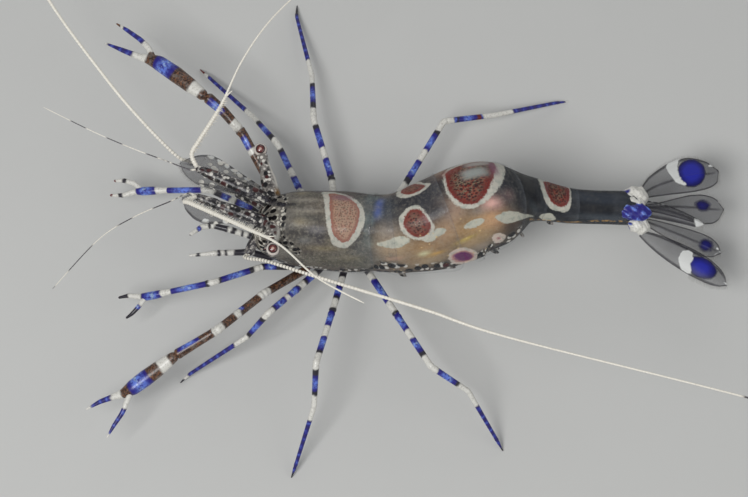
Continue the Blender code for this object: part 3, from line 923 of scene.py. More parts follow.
@dataclass(frozen=True)
class TrunkLine:
    """The smooth body that the shell plates follow: its stations and its squarish section."""

    # x, y, z, half width, rise, drop, lean to the right in degrees
    stations: tuple[tuple[float, ...], ...] = (
        (-5.3, 0.98, 4.9, 1.2, 1.35, 1.55, 15.0),
        (-4.0, 0.85, 4.7, 1.6, 1.85, 2.1, 16.0),
        (-1.4, 0.7, 4.6, 1.8, 2.0, 2.3, 17.0),
        (0.05, 0.6, 4.7, 1.7, 1.9, 2.2, 18.0),
        (1.25, 0.55, 5.0, 1.75, 1.9, 2.5, 20.0),
        (2.75, 0.85, 5.4, 1.9, 2.15, 3.05, 21.0),
        (4.8, 1.55, 5.65, 1.9, 2.3, 3.15, 23.0),
        (6.15, 1.8, 5.35, 1.65, 2.0, 2.4, 23.0),
        (7.5, 2.2, 4.8, 1.05, 1.15, 1.2, 21.0),
        (9.6, 2.15, 4.1, 0.82, 0.85, 0.9, 19.0),
        (12.6, 2.3, 3.4, 0.85, 0.78, 0.8, 15.0),
    )
    squareness: float = 2.3

    def section(self, x: Array) -> Array:
        """Returns the seven numbers of the section at each x, on a smooth curve through the stations."""
        table = np.array(self.stations)
        after = np.clip(np.searchsorted(table[:, 0], x), 1, len(table) - 1)
        a, b = table[after - 1], table[after]
        before, beyond = table[np.maximum(after - 2, 0)], table[np.minimum(after + 1, len(table) - 1)]
        span = (b[:, 0] - a[:, 0])[:, None]
        t = (x[:, None] - a[:, :1]) / span
        slope_a = (b - before) / (b[:, :1] - before[:, :1]) * span
        slope_b = (beyond - a) / (beyond[:, :1] - a[:, :1]) * span
        return (
            (2 * t**3 - 3 * t**2 + 1) * a
            + (t**3 - 2 * t**2 + t) * slope_a
            + (3 * t**2 - 2 * t**3) * b
            + (t**3 - t**2) * slope_b
        )

    def directions(self, x: Array) -> tuple[Array, ...]:
        """Finds the section at each x and how it is turned.

        Args:
            x: Stations.

        Returns:
            The section's numbers, then the directions to the animal's right, its back and its tail.
        """
        section = self.section(x)
        step = 0.05
        tail = unit(self.section(x + step)[:, :3] - self.section(x - step)[:, :3])
        lean = np.radians(section[:, 6])
        back = np.stack([np.zeros_like(lean), np.sin(lean), np.cos(lean)], axis=1)
        back = unit(back - tail * (back * tail).sum(axis=1, keepdims=True))
        right = unit(np.cross(back, tail))
        right *= np.where(right[:, 1:2] < 0, -1.0, 1.0)
        return section, right, back, tail

    def surface(self, x: Array, angle: Array, fullness: Array | float) -> Array:
        """Finds points of the body's surface.

        Args:
            x: Station of each point.
            angle: Angle of each point from the back towards the right.
            fullness: Share of the full section at each point.

        Returns:
            The points, in the same layout as x.
        """
        shape = x.shape
        flat_x, flat_angle = x.ravel(), angle.ravel()
        full = np.broadcast_to(fullness, shape).ravel()[:, None]
        section, right, back, _ = self.directions(flat_x)
        power = 2.0 / self.squareness
        sine, cosine = np.sin(flat_angle), np.cos(flat_angle)
        across = (np.sign(sine) * np.abs(sine) ** power)[:, None]
        up = (np.sign(cosine) * np.abs(cosine) ** power)[:, None]
        height = np.where(up > 0, section[:, 4:5], section[:, 5:6])
        points = section[:, :3] + full * (section[:, 3:4] * across * right + height * up * back)
        return points.reshape(*shape, 3)

    def arcs(self, x: Array, angle: Array) -> Array:
        """Returns the arc of each point of a grid whose rows are stations and columns are angles."""
        full = self.surface(x, angle, 1.0)
        steps = np.linalg.norm(np.diff(full, axis=1), axis=2)
        run = np.concatenate([np.zeros((len(x), 1)), np.cumsum(steps, axis=1)], axis=1)
        middle = np.array([np.interp(0.0, row_angle, row_run) for row_angle, row_run in zip(angle, run)])
        return run - middle[:, None]


TRUNK = TrunkLine()


@dataclass(frozen=True)
class Patch:
    """A white-edged patch of pigment on the back: the outlines of its edge and of its red heart."""

    edge: tuple[Spot, ...]
    heart: tuple[Spot, ...]
    paleness: float
    mossiness: float


@dataclass(frozen=True)
class Wash:
    """A soft touch of colour on the trunk: its middle, its reach each way and how much it covers."""

    x: float
    arc: float
    reach_x: float
    reach_arc: float
    colour: str
    cover: float


PATCHES: tuple[Patch, ...] = (
    Patch(  # the saddle on the carapace
        ((-2.6, 1.05), (-2.5, 0.45), (-2.42, -0.1), (-2.32, -0.77), (-2.16, -1.43), (-1.95, -1.99), (-1.62, -2.22),
         (-1.25, -2.25), (-0.92, -1.99), (-0.53, -1.55), (-0.26, -0.98), (-0.22, -0.5), (-0.4, 0.02),
         (-0.72, 0.38), (-1.15, 0.7), (-1.55, 0.95), (-2.05, 1.15), (-2.4, 1.2)),
        ((-2.18, 0.84), (-2.14, 0.3), (-2.1, -0.2), (-2.03, -0.71), (-1.92, -1.32), (-1.72, -1.68), (-1.42, -1.88),
         (-1.12, -1.75), (-0.75, -1.18), (-0.62, -0.64), (-0.62, -0.25), (-0.8, 0.1), (-1.2, 0.44), (-1.52, 0.68),
         (-1.88, 0.86)), 0.95, 0.3,
    ),
    Patch(  # the round disc on each side of the second tail segment
        ((1.64, -1.0), (1.66, -1.45), (1.86, -1.88), (2.16, -2.2), (2.46, -2.3), (2.74, -2.15), (2.9, -1.85),
         (2.86, -1.5), (2.76, -1.05), (2.62, -0.6), (2.36, -0.4), (2.04, -0.48), (1.76, -0.7)),
        ((1.9, -1.05), (1.92, -1.45), (2.08, -1.82), (2.3, -2.04), (2.56, -1.98), (2.72, -1.7), (2.68, -1.3),
         (2.58, -0.9), (2.4, -0.66), (2.14, -0.7)), 0.12, 0.36,
    ),
    Patch(  # its twin on the other side, of which a sliver shows from above
        ((1.62, 0.8), (1.86, 0.38), (2.36, 0.14), (2.85, 0.2), (3.35, 0.5), (3.05, 0.85), (2.6, 1.6), (2.1, 1.8),
         (1.75, 1.5)),
        ((1.94, 0.85), (2.14, 0.54), (2.45, 0.38), (2.75, 0.42), (3.02, 0.55), (2.78, 0.85), (2.42, 1.35),
         (2.08, 1.3)), 0.2, 0.25,
    ),
    Patch(  # the great patch over the hump
        ((4.0, 1.0), (3.86, 0.4), (3.78, -0.2), (3.8, -0.7), (3.92, -1.18), (4.12, -1.52), (4.4, -1.72),
         (4.7, -1.74), (5.02, -1.52), (5.36, -1.05), (5.62, -0.46), (5.88, 0.22), (6.02, 0.85), (5.92, 1.38),
         (5.2, 1.5), (4.5, 1.4)),
        ((4.14, 0.8), (4.02, 0.4), (3.94, -0.15), (3.98, -0.66), (4.12, -1.1), (4.32, -1.38), (4.56, -1.5),
         (4.78, -1.44), (4.98, -1.12), (5.16, -0.66), (5.32, -0.14), (5.44, 0.42), (5.44, 1.0), (5.0, 1.12),
         (4.5, 1.0)), 0.0, 0.64,
    ),
    Patch(  # the patch on the fifth tail segment
        ((7.66, 0.5), (7.62, -0.2), (7.78, -0.76), (8.2, -1.05), (8.7, -1.1), (9.06, -1.02), (9.2, -0.62),
         (9.22, 0.2), (9.22, 0.8), (8.6, 1.1), (7.9, 0.9)),
        ((7.94, 0.36), (7.93, -0.25), (8.16, -0.64), (8.48, -0.8), (8.84, -0.74), (9.04, -0.44), (9.1, 0.2),
         (9.06, 0.6), (8.5, 0.75)), 0.0, 0.4,
    ),
)

BLOTCHES: tuple[tuple[Spot, ...], ...] = (
    ((0.52, -1.96), (0.97, -2.22), (1.3, -2.3), (1.66, -2.22), (1.88, -2.05), (1.74, -1.78), (1.36, -1.66),
     (0.95, -1.8)),
    ((2.34, -2.26), (2.52, -2.52), (2.72, -2.52), (2.8, -2.4), (2.98, -2.4), (3.24, -2.24), (3.2, -2.08),
     (2.98, -1.94), (2.8, -1.96)),
    ((3.9, -2.5), (4.16, -2.74), (4.5, -2.8), (4.86, -2.6), (4.66, -2.36), (4.22, -2.34)),
    ((5.22, -2.48), (5.62, -2.78), (6.04, -2.72), (6.36, -2.52), (6.8, -2.25), (7.35, -1.95), (6.5, -2.16),
     (6.12, -2.06), (5.72, -2.08), (5.42, -2.26)),
    ((7.82, -1.8), (8.1, -1.98), (8.44, -2.02), (8.74, -1.8), (8.7, -1.52), (8.3, -1.36), (7.95, -1.52)),
)

# For each ringed spot, the outlines of its edge and of its heart.
OCELLI: tuple[tuple[tuple[Spot, ...], tuple[Spot, ...]], ...] = (
    (((4.15, -5.1), (4.0, -5.62), (3.7, -5.85), (3.38, -5.62), (3.08, -5.02), (2.93, -4.45), (2.94, -4.02),
      (3.05, -3.8), (3.25, -3.72), (3.58, -3.76), (3.9, -4.16), (4.14, -4.62)),
     ((3.98, -4.96), (3.85, -5.22), (3.65, -5.3), (3.36, -5.14), (3.16, -4.84), (3.04, -4.48), (3.05, -4.16),
      (3.16, -3.97), (3.36, -3.96), (3.56, -4.0), (3.76, -4.26), (3.95, -4.62))),
    (((5.26, -3.86), (5.36, -3.55), (5.62, -3.45), (5.88, -3.6), (5.96, -3.9), (5.82, -4.22), (5.52, -4.25)),
     ((5.5, -3.86), (5.62, -3.76), (5.76, -3.86), (5.62, -3.98))),
)

TONES: tuple[tuple[float, str], ...] = (  # the smoke's own colour down the back
    (-5.6, "#76716a"), (-4.6, "#77726b"), (-4.0, "#6a655e"), (-3.2, "#6f685f"), (-2.6, "#6c6358"), (-1.2, "#6a635a"),
    (-0.2, "#5a5d5b"), (0.4, "#4e5456"), (1.1, "#3f454d"), (1.8, "#343439"), (3.4, "#343236"), (5.4, "#302f34"),
    (6.2, "#141519"), (9.0, "#121318"), (10.0, "#17191f"), (11.0, "#191d25"), (13.0, "#171a20"),
)

WASHES: tuple[Wash, ...] = (
    Wash(-3.3, -0.9, 0.6, 0.4, "#948873", 0.5), Wash(-2.6, -1.75, 0.6, 0.4, "#5f5c62", 0.7),
    Wash(-3.3, -1.85, 0.3, 0.22, "#9a9b98", 0.7), Wash(-4.1, -2.55, 0.28, 0.35, "#a8a398", 0.7),
    Wash(-2.1, -1.6, 0.25, 0.6, "#b3a88c", 0.5), Wash(-3.0, -2.7, 0.9, 0.35, "#544c48", 0.7),
    Wash(-2.0, -3.3, 1.8, 0.6, "#5e5a4a", 0.8), Wash(-4.0, 0.1, 0.5, 0.22, "#413f38", 0.6),
    Wash(-3.2, 0.75, 1.0, 0.3, "#575753", 0.7), Wash(-2.9, 1.5, 2.0, 0.45, "#2d2b2c", 0.8),
    Wash(-1.0, 1.3, 1.1, 0.35, "#452622", 0.6), Wash(-3.0, -0.35, 0.9, 0.1, "#9c9384", 0.7),
    Wash(-3.45, 0.3, 0.7, 0.12, "#8f8a80", 0.7), Wash(-2.75, -1.35, 0.45, 0.22, "#8d8a8c", 0.6),
    Wash(-3.6, -0.95, 0.35, 0.22, "#a3977c", 0.6), Wash(-2.3, -2.35, 0.9, 0.16, "#8c8062", 0.7),
    Wash(-1.0, -2.95, 0.7, 0.22, "#857b62", 0.6), Wash(0.4, -1.2, 0.55, 0.42, "#2c3236", 0.85),
    Wash(-0.1, -1.25, 0.16, 0.3, "#8fa3a0", 0.7), Wash(0.32, -0.85, 0.16, 0.32, "#7c8f94", 0.6),
    Wash(0.7, -0.45, 0.2, 0.2, "#6b7784", 0.6), Wash(-0.05, -0.75, 0.22, 0.35, "#8d9a98", 0.5),
    Wash(0.6, 0.28, 0.24, 0.36, "#5669ab", 0.75), Wash(0.1, 1.2, 0.8, 0.4, "#1c1618", 0.7),
    Wash(0.1, -1.9, 0.35, 0.3, "#7f8c87", 0.5), Wash(1.2, -2.3, 0.85, 1.0, "#b89f7f", 0.95),
    Wash(2.3, -3.0, 0.9, 0.85, "#b28f64", 0.95), Wash(1.0, -1.35, 0.4, 0.5, "#b6a99b", 0.35),
    Wash(3.3, -2.3, 0.7, 0.85, "#bc9a78", 0.9), Wash(3.8, -1.4, 0.45, 0.65, "#b89a84", 0.85),
    Wash(4.5, -2.9, 1.0, 0.9, "#c09c6a", 0.95), Wash(5.2, -2.6, 0.65, 0.65, "#d8aa7f", 0.9),
    Wash(4.7, -1.95, 0.35, 0.25, "#9a928a", 0.6), Wash(5.15, -1.7, 0.3, 0.32, "#ebb8ac", 0.95),
    Wash(5.75, -1.25, 0.25, 0.3, "#9d7b76", 0.35), Wash(5.95, -2.95, 0.35, 0.4, "#3a2a22", 0.7),
    Wash(1.9, -3.85, 1.5, 0.45, "#b39c7c", 0.9), Wash(4.4, -3.75, 0.9, 0.45, "#c4a67c", 0.9),
    Wash(4.6, -4.35, 0.8, 0.4, "#ab9a88", 0.8), Wash(3.2, -1.15, 0.55, 0.38, "#252328", 0.85),
    # The next four thin bright streaks, cream, gold and pink, low on the belly's side, are gold pigment with painted
    # sheen and glints laid into it.
    Wash(2.16, -3.15, 0.22, 0.16, "#ebebbc", 0.8), Wash(2.6, -3.45, 0.35, 0.12, "#ebb957", 0.6),
    Wash(3.85, -3.3, 0.4, 0.1, "#ebce5e", 0.8), Wash(1.06, -3.0, 0.25, 0.1, "#ebb89b", 0.7),
    Wash(4.55, -3.8, 0.35, 0.2, "#947a53", 0.6), Wash(7.1, -1.55, 0.5, 0.3, "#454d54", 0.7),
    Wash(9.8, -0.15, 0.5, 0.25, "#454a52", 0.6), Wash(10.9, -0.3, 1.1, 0.3, "#414853", 0.8),
    Wash(11.0, -1.15, 1.5, 0.28, "#4c545c", 0.8), Wash(10.9, 0.6, 1.9, 0.35, "#0e0d10", 0.85),
)

GLAZES_AND_HIGHLIGHTS: tuple[Wash, ...] = (  # firmer touches over the spots: pigment, and painted highlights where the back shines
    # The first two, grey and pale on the hump, are painted highlights; the rest are pigment.
    Wash(4.85, 0.12, 0.36, 0.34, "#a3a9a4", 0.9), Wash(5.1, 0.85, 0.4, 0.26, "#b9b4ae", 0.8),
    Wash(5.42, 0.45, 0.14, 0.62, "#8a5f70", 0.8), Wash(-1.6, 0.58, 0.55, 0.22, "#85606c", 0.7),
    Wash(4.2, 0.75, 0.35, 0.3, "#8a4038", 0.6), Wash(7.1, 1.1, 0.9, 0.32, "#4e1a1b", 0.8),
    Wash(10.9, 0.95, 1.6, 0.18, "#34121a", 0.8),
)


@dataclass
class Flesh:
    """The one soft body under the shell plates, with all its pigment and its painted highlights."""

    first: float = -5.45
    last: float = 12.85
    rings: int = 270
    sides: int = 156
    fullness: float = 0.955
    belly: float = 0.88  # fullness under the tail, where the side flaps hang lower
    slant: float = 0.45  # how much further forward the belly starts than the back
    nose: float = 0.55  # length of the rounded front end
    rump: float = 0.35  # length of the rounded rear end

    def build(self, finish: Material) -> None:
        """Builds the flesh with the given material."""
        x = np.linspace(self.first, self.last, self.rings)
        angle = np.linspace(-math.pi, math.pi, self.sides, endpoint=False)
        grid_x, grid_angle = np.meshgrid(x, angle, indexing="ij")
        # The belly end of each ring lies further forward at the head, as the shell's margin does.
        belly = (1 - np.cos(grid_angle)) / 2
        slanted = grid_x - self.slant * belly * (1 - smooth_step(-5.4, -3.0, grid_x))
        full = self.fullness
        for reach in ((grid_x - self.first) / self.nose, (self.last - grid_x) / self.rump):
            near = np.clip(reach, 0.0, 1.0)
            full = full * np.maximum(np.sqrt(near * (2 - near)), 0.05)
        tail_part = window(grid_x, (0.2, 1.2), (7.2, 8.2))
        full = full * (1 - (1 - self.belly) * tail_part * smooth_step(2.2, 2.7, np.abs(grid_angle)))
        points = TRUNK.surface(slanted, grid_angle, full)
        values = self._pigments(slanted, TRUNK.arcs(slanted, grid_angle))
        settle(mesh_object("flesh", tube_skin(points, values), finish), "flesh")

    def _pigments(self, x: Array, arc: Array) -> dict[str, Array]:
        """Works out every value that the flesh's finish reads.

        Args:
            x: Station of each point.
            arc: Arc of each point.

        Returns:
            The values by name.
        """
        away = np.abs(arc)
        depths = ("patch_edge", "patch_heart", "blotch", "ocellus_edge", "ocellus_heart")
        held = {name: np.full(x.shape, -1.0) for name in depths}
        held |= {name: np.zeros(x.shape) for name in ("patch_pale", "patch_moss")}
        for patch in PATCHES:
            edge = self._depth(x, arc, patch.edge)
            held["patch_edge"] = np.maximum(held["patch_edge"], edge)
            held["patch_heart"] = np.maximum(held["patch_heart"], self._depth(x, arc, patch.heart))
            for name, level in (("patch_pale", patch.paleness), ("patch_moss", patch.mossiness)):
                held[name] = np.where(edge > -0.1, level, held[name])
        marks = [("blotch", outline) for outline in BLOTCHES]
        marks += [(f"ocellus_{part}", outline) for pair in OCELLI for part, outline in zip(("edge", "heart"), pair)]
        for name, outline in marks:
            for side in Side:
                held[name] = np.maximum(held[name], self._depth(x, arc * -side.value, outline))
        held["lie"] = np.stack([x, arc, np.zeros(x.shape)], axis=-1) * MM
        held["lumpy"] = 1.5 - 0.5 * smooth_step(-0.6, 0.6, x) - 0.75 * smooth_step(5.4, 7.0, x)
        held["speckle"] = self._speckle(x, away)
        held["margin"] = self._margin(x, away)
        lower = np.interp(x, (6.7, 7.6, 9.0, 10.8, 12.4), (2.42, 2.12, 1.84, 1.38, 1.32))
        held["gilt"] = np.exp(-(((away - lower) / 0.06) ** 2)) * smooth_step(6.6, 6.9, x)
        # Where the belly's painted glints lie.
        held["glint"] = window(x, (0.6, 1.1), (4.9, 5.8)) * smooth_step(1.6, 2.4, away)
        held["tone"] = self._tone(x, arc)
        held["glaze_and_highlight"] = self._glaze_and_highlight(x, arc)
        return held

    @staticmethod
    def _depth(x: Array, arc: Array, outline: Sequence[Spot]) -> Array:
        """Returns how deep each point lies inside a rounded outline, or -1 where it is far from it."""
        curve = rounded_outline(outline)
        low, high = curve.min(axis=0) - 0.4, curve.max(axis=0) + 0.4
        near = (x > low[0]) & (x < high[0]) & (arc > low[1]) & (arc < high[1])
        depth = np.full(x.shape, -1.0)
        depth[near] = depth_inside(x[near], arc[near], curve)
        return depth

    @staticmethod
    def _speckle(x: Array, away: Array) -> Array:
        """Returns how thickly the head's flecks and dots lie, from the station and the arc without its sign."""
        head = 1 - smooth_step(-4.75, -4.05, x + 0.05 * away)
        cheek = np.exp(-(((away - 1.63 - 0.9 * (x + 4.7)) / 0.34) ** 2))
        return np.maximum(head, cheek * window(x, (-4.9, -4.7), (-3.7, -3.2)))

    @staticmethod
    def _margin(x: Array, away: Array) -> Array:
        """Returns how thickly the dots lie along the lower edge, from the station and the arc without its sign."""
        upper = np.interp(
            x,
            (-5.2, -3.6, -2.4, -0.2, 0.3, 0.9, 1.6, 2.6, 3.2, 4.3, 5.0, 5.6, 6.1, 6.45, 6.7),
            (3.35, 3.95, 4.02, 3.9, 3.08, 3.26, 3.72, 4.26, 4.8, 4.78, 4.5, 4.05, 3.42, 2.8, 9.0),
        )
        return smooth_step(-0.05, 0.12, away - upper) * (1 - smooth_step(6.45, 6.65, x))

    @staticmethod
    def _share(wash: Wash, x: Array, arc: Array, power: int) -> Array:
        """Returns how much a wash covers at each point: soft with a power of 2, firmer with 4."""
        along, across = (x - wash.x) / wash.reach_x, (arc - wash.arc) / wash.reach_arc
        return wash.cover * np.exp(-(along**power) - across**power)

    def _tone(self, x: Array, arc: Array) -> Array:
        """Returns the smoke's colour at each point, under all the spots."""
        stops = np.array([stop for stop, _ in TONES])
        paints = np.array([linear(colour) for _, colour in TONES])
        tone = np.stack([np.interp(x, stops, paints[:, k]) for k in range(4)], axis=-1)
        for wash in WASHES:
            for side in (1.0, -1.0):
                share = self._share(wash, x, arc * side, 2)
                tone = tone + (np.array(linear(wash.colour)) - tone) * share[..., None]
        return tone

    def _glaze_and_highlight(self, x: Array, arc: Array) -> Array:
        """Returns the colour and cover of the glazes and painted highlights that lie over the spots."""
        glaze_and_highlight = np.zeros((*x.shape, 4))
        for wash in GLAZES_AND_HIGHLIGHTS:
            share = self._share(wash, x, arc, 4)
            glaze_and_highlight[share > glaze_and_highlight[..., 3], :3] = linear(wash.colour)[:3]
            glaze_and_highlight[..., 3] = np.maximum(glaze_and_highlight[..., 3], share)
        return glaze_and_highlight


@dataclass(frozen=True)
class Plate:
    """One clear shell plate: its margins at the back and at the belly, and how far it comes down."""

    node: str
    front_back: float
    front_belly: float
    rear_back: float
    rear_belly: float
    reach: float  # half the angle that it wraps, in degrees
    rounding: float  # how much its lower corners are rounded off


@dataclass
class ShellPlates:
    """The carapace and the six tail plates, each lapping over the next like roof tiles."""

    plates: tuple[Plate, ...] = (
        Plate("carapace", -4.75, -5.55, 0.18, 0.05, 150.0, 0.3),
        Plate("pleon_1", 0.05, -0.05, 1.35, 1.05, 128.0, 0.25),
        Plate("pleon_2", 1.1, 0.7, 3.62, 3.6, 142.0, 0.55),
        Plate("pleon_3", 3.35, 3.6, 6.4, 6.66, 142.0, 0.65),
        Plate("pleon_4", 6.2, 6.6, 7.98, 8.2, 140.0, 0.45),
        Plate("pleon_5", 7.8, 8.1, 9.62, 9.8, 145.0, 0.3),
        Plate("pleon_6", 9.45, 9.65, 12.58, 12.58, 165.0, 0.1),
    )
    rows: int = 36
    columns: int = 72
    lift: float = 0.035  # how far a plate's rear edge stands out, as a share of the section
    wall: float = 0.018
    fullness: float = 0.972

    def build(self, finish: Material) -> None:
        """Builds every plate with the given material."""
        for plate in self.plates:
            along, turn = np.meshgrid(np.linspace(0, 1, self.rows), np.linspace(-1, 1, self.columns), indexing="ij")
            angle = turn * math.radians(plate.reach)
            belly = (1 - np.cos(angle)) / 2
            corner = plate.rounding * np.abs(turn) ** 6
            front = plate.front_back + (plate.front_belly - plate.front_back) * belly + corner
            rear = plate.rear_back + (plate.rear_belly - plate.rear_back) * belly - corner
            x = front + (rear - front) * along
            fullness = self.fullness + self.lift * smooth_step(0.55, 1.0, along) + 0.012 * np.abs(turn) ** 4
            outer = TRUNK.surface(x, angle, fullness)
            inner = TRUNK.surface(x, angle, fullness - self.wall)
            # The rim, where the plate's edge shows as a pale line that is partly a painted highlight.
            rim = 1 - np.minimum(smooth_step(0.0, 0.03, 1 - along), smooth_step(0.0, 0.02, 1 - np.abs(turn)))
            skin = sheet_skin(outer, inner, {"rim": rim})
            settle(mesh_object(f"{plate.node}_shell", skin, finish), "clear_shell", plate.node)


# ---------------------------------------------------------------- tubes, limbs and feelers


def ringed_tube(line: Array, radius: Array, sides: int, flatness: float = 1.0) -> Array:
    """Sets rings round a line, each upright as far as the line lets it be.

    Args:
        line: The line's points.
        radius: The ring's radius at each point.
        sides: Points in each ring.
        flatness: Height of a ring as a share of its width.

    Returns:
        The ring points, by ring and by place round it.
    """
    heading = unit(np.gradient(line, axis=0))
    side = unit(np.cross(heading, UP))
    up = unit(np.cross(side, heading))
    turn = np.linspace(0, 2 * math.pi, sides, endpoint=False)
    across = np.cos(turn)[None, :, None] * side[:, None, :]
    high = np.sin(turn)[None, :, None] * up[:, None, :] * flatness
    return line[:, None, :] + radius[:, None, None] * (across + high)


def eased(line: Array, spread: int) -> Array:
    """Returns the line with its corners eased over spread points each way, its ends kept."""
    weights = np.hanning(2 * spread + 3)[1:-1]
    padded = np.concatenate([2 * line[0] - line[spread:0:-1], line, 2 * line[-1] - line[-2 : -spread - 2 : -1]])
    return np.stack([np.convolve(padded[:, k], weights / weights.sum(), "valid") for k in range(3)], axis=1)


class Pigment(Enum):
    """A kind of pigment band on a limb, with the letter that stands for it in a list of bands."""

    CLEAR = "C"
    BLUE = "B"
    WHITE = "W"
    BROWN = "N"
    BEADS = "V"
    RED = "R"


def bands(text: str) -> tuple[tuple[Pigment, float], ...]:
    """Reads bands such as "C0.4 W0.7": the letter of each one's pigment and where the band ends."""
    return tuple((Pigment(word[0]), float(word[1:])) for word in text.split())


def jointed_line(joints: Array, step: float) -> tuple[Array, Array, Array]:
    """Steps along a limb's joints.

    Args:
        joints: Place and radius of each joint.
        step: Rough distance between the line's points.

    Returns:
        The line's points, how far along each lies, and the radius at each.
    """
    line = even_steps(joints[:, :3], step)
    run = distance_along(line)
    return line, run, np.interp(run, distance_along(joints[:, :3]), joints[:, 3])


@dataclass
class Limb:
    """One jointed limb piece with its pigment bands."""

    node: str
    joints: tuple[tuple[float, float, float, float], ...]  # x, y, z and radius
    bands: tuple[tuple[Pigment, float], ...]  # each band's kind and where it ends, along the limb
    start: float = 0.0  # where the first joint lies on the band scale
    slot: str = "banded_limb"
    articulations: tuple[float, ...] = ()  # where the limb's own joints lie, on the band scale
    flatness: float = 1.0
    step: float = 0.05
    sides: int = 16
    ease: int = 4
    soft: float = 0.045  # width over which a band's colour fades in
    bead: float = 0.42  # spacing of the beads of pigment on the outermost part
    swelling: float = 0.12  # how much it swells beside a joint and narrows at it
    swell_from_joint: float = 0.12
    swell_reach: float = 0.09
    waist_reach: float = 0.045
    least_tip: float = 0.012  # the smallest radius that a tip is rounded to
    overlap: float = 0.14  # how far it runs back into the piece that carries it
    brown_side: int = 0  # where one side stays brown and the other is blue: 1 or -1 for the brown side

    def build(self, finish: Material) -> None:
        """Builds the limb with the given material."""
        joints = np.array(self.joints)
        joints[0, :3] -= self.overlap * unit(joints[1, :3] - joints[0, :3])
        line, run, radius = jointed_line(joints, self.step)
        line = eased(line, min(self.ease, len(line) // 3))
        on_scale = run + self.start - self.overlap
        for joint in self.articulations:
            away = on_scale - joint
            swell = np.exp(-(((np.abs(away) - self.swell_from_joint) / self.swell_reach) ** 2))
            waist = np.exp(-((away / self.waist_reach) ** 2))
            radius = radius * (1 + self.swelling * swell - self.swelling * waist)
        tip = max(joints[-1, 3], self.least_tip)
        radius = radius * taper(run, joints[0, 3], 0.02) * taper(run[-1] - run, 0.7 * tip, 0.02)
        rings = ringed_tube(line, radius, self.sides, self.flatness)
        skin = tube_skin(rings, self._band_values(on_scale))
        settle(mesh_object(self.node + "_skin", skin, finish), self.slot, self.node)

    def _band_values(self, run: Array) -> dict[str, Array]:
        """Works out each pigment's cover at each point.

        Args:
            run: Distance along the limb of each ring.

        Returns:
            Covers by name, by ring and place round it.
        """
        turn = np.arange(self.sides) * 2 * math.pi / self.sides
        around, along = turn[None, :], run[:, None]
        s = along + 0.03 * np.sin(around + 7.0 * along) + 0.015 * np.sin(3 * around + 23.0 * along)
        held = {name: np.zeros(s.shape) for name in ("blue", "glow", "white", "brown", "red")}
        begin = run[0] - 1.0
        for kind, end in self.bands:
            cover = window(s, (begin - self.soft, begin + self.soft), (end - self.soft, end + self.soft))
            middle, half = (begin + end) / 2, max((end - begin) / 2, 0.05)
            heart = np.clip(1 - ((s - middle) / (half * 0.72)) ** 2, 0, 1)
            if kind is Pigment.BLUE:
                brown = smooth_step(0.05, 0.45, self.brown_side * np.cos(turn))[None, :] * cover * abs(self.brown_side)
                held["brown"] += brown
                held["blue"] += cover - brown
                held["glow"] += (cover - brown) * heart
            elif kind is Pigment.BEADS:
                beat = 0.5 - 0.5 * np.cos(2 * math.pi * (s - begin) / self.bead)
                held["blue"] += cover * (0.55 + 0.45 * smooth_step(0.15, 0.5, beat))
                held["glow"] += cover * 0.55 * smooth_step(0.75, 1.0, beat)
            elif kind is not Pigment.CLEAR:
                held[kind.name.lower()] += cover
            begin = end
        return {name: np.clip(value, 0, 1) for name, value in held.items()}


LEG_RADII = (0.2, 0.18, 0.165, 0.155, 0.125, 0.085, 0.02)  # at a walking leg's joints, from its root
LEG_START = -0.5  # where a walking leg's root lies on its band scale


def walking_leg(node: str, joints: tuple[Point, ...], banding: str, articulations: tuple[float, ...]) -> Limb:
    """Describes a walking leg.

    Args:
        node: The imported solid's name.
        joints: Its joints, from the root.
        banding: Its bands, as the bands function reads them.
        articulations: Where its own joints lie on the band scale.

    Returns:
        The limb.
    """
    jointed = tuple((*point, radius) for point, radius in zip(joints, LEG_RADII))
    return Limb(node, jointed, bands(banding), start=LEG_START, articulations=articulations)


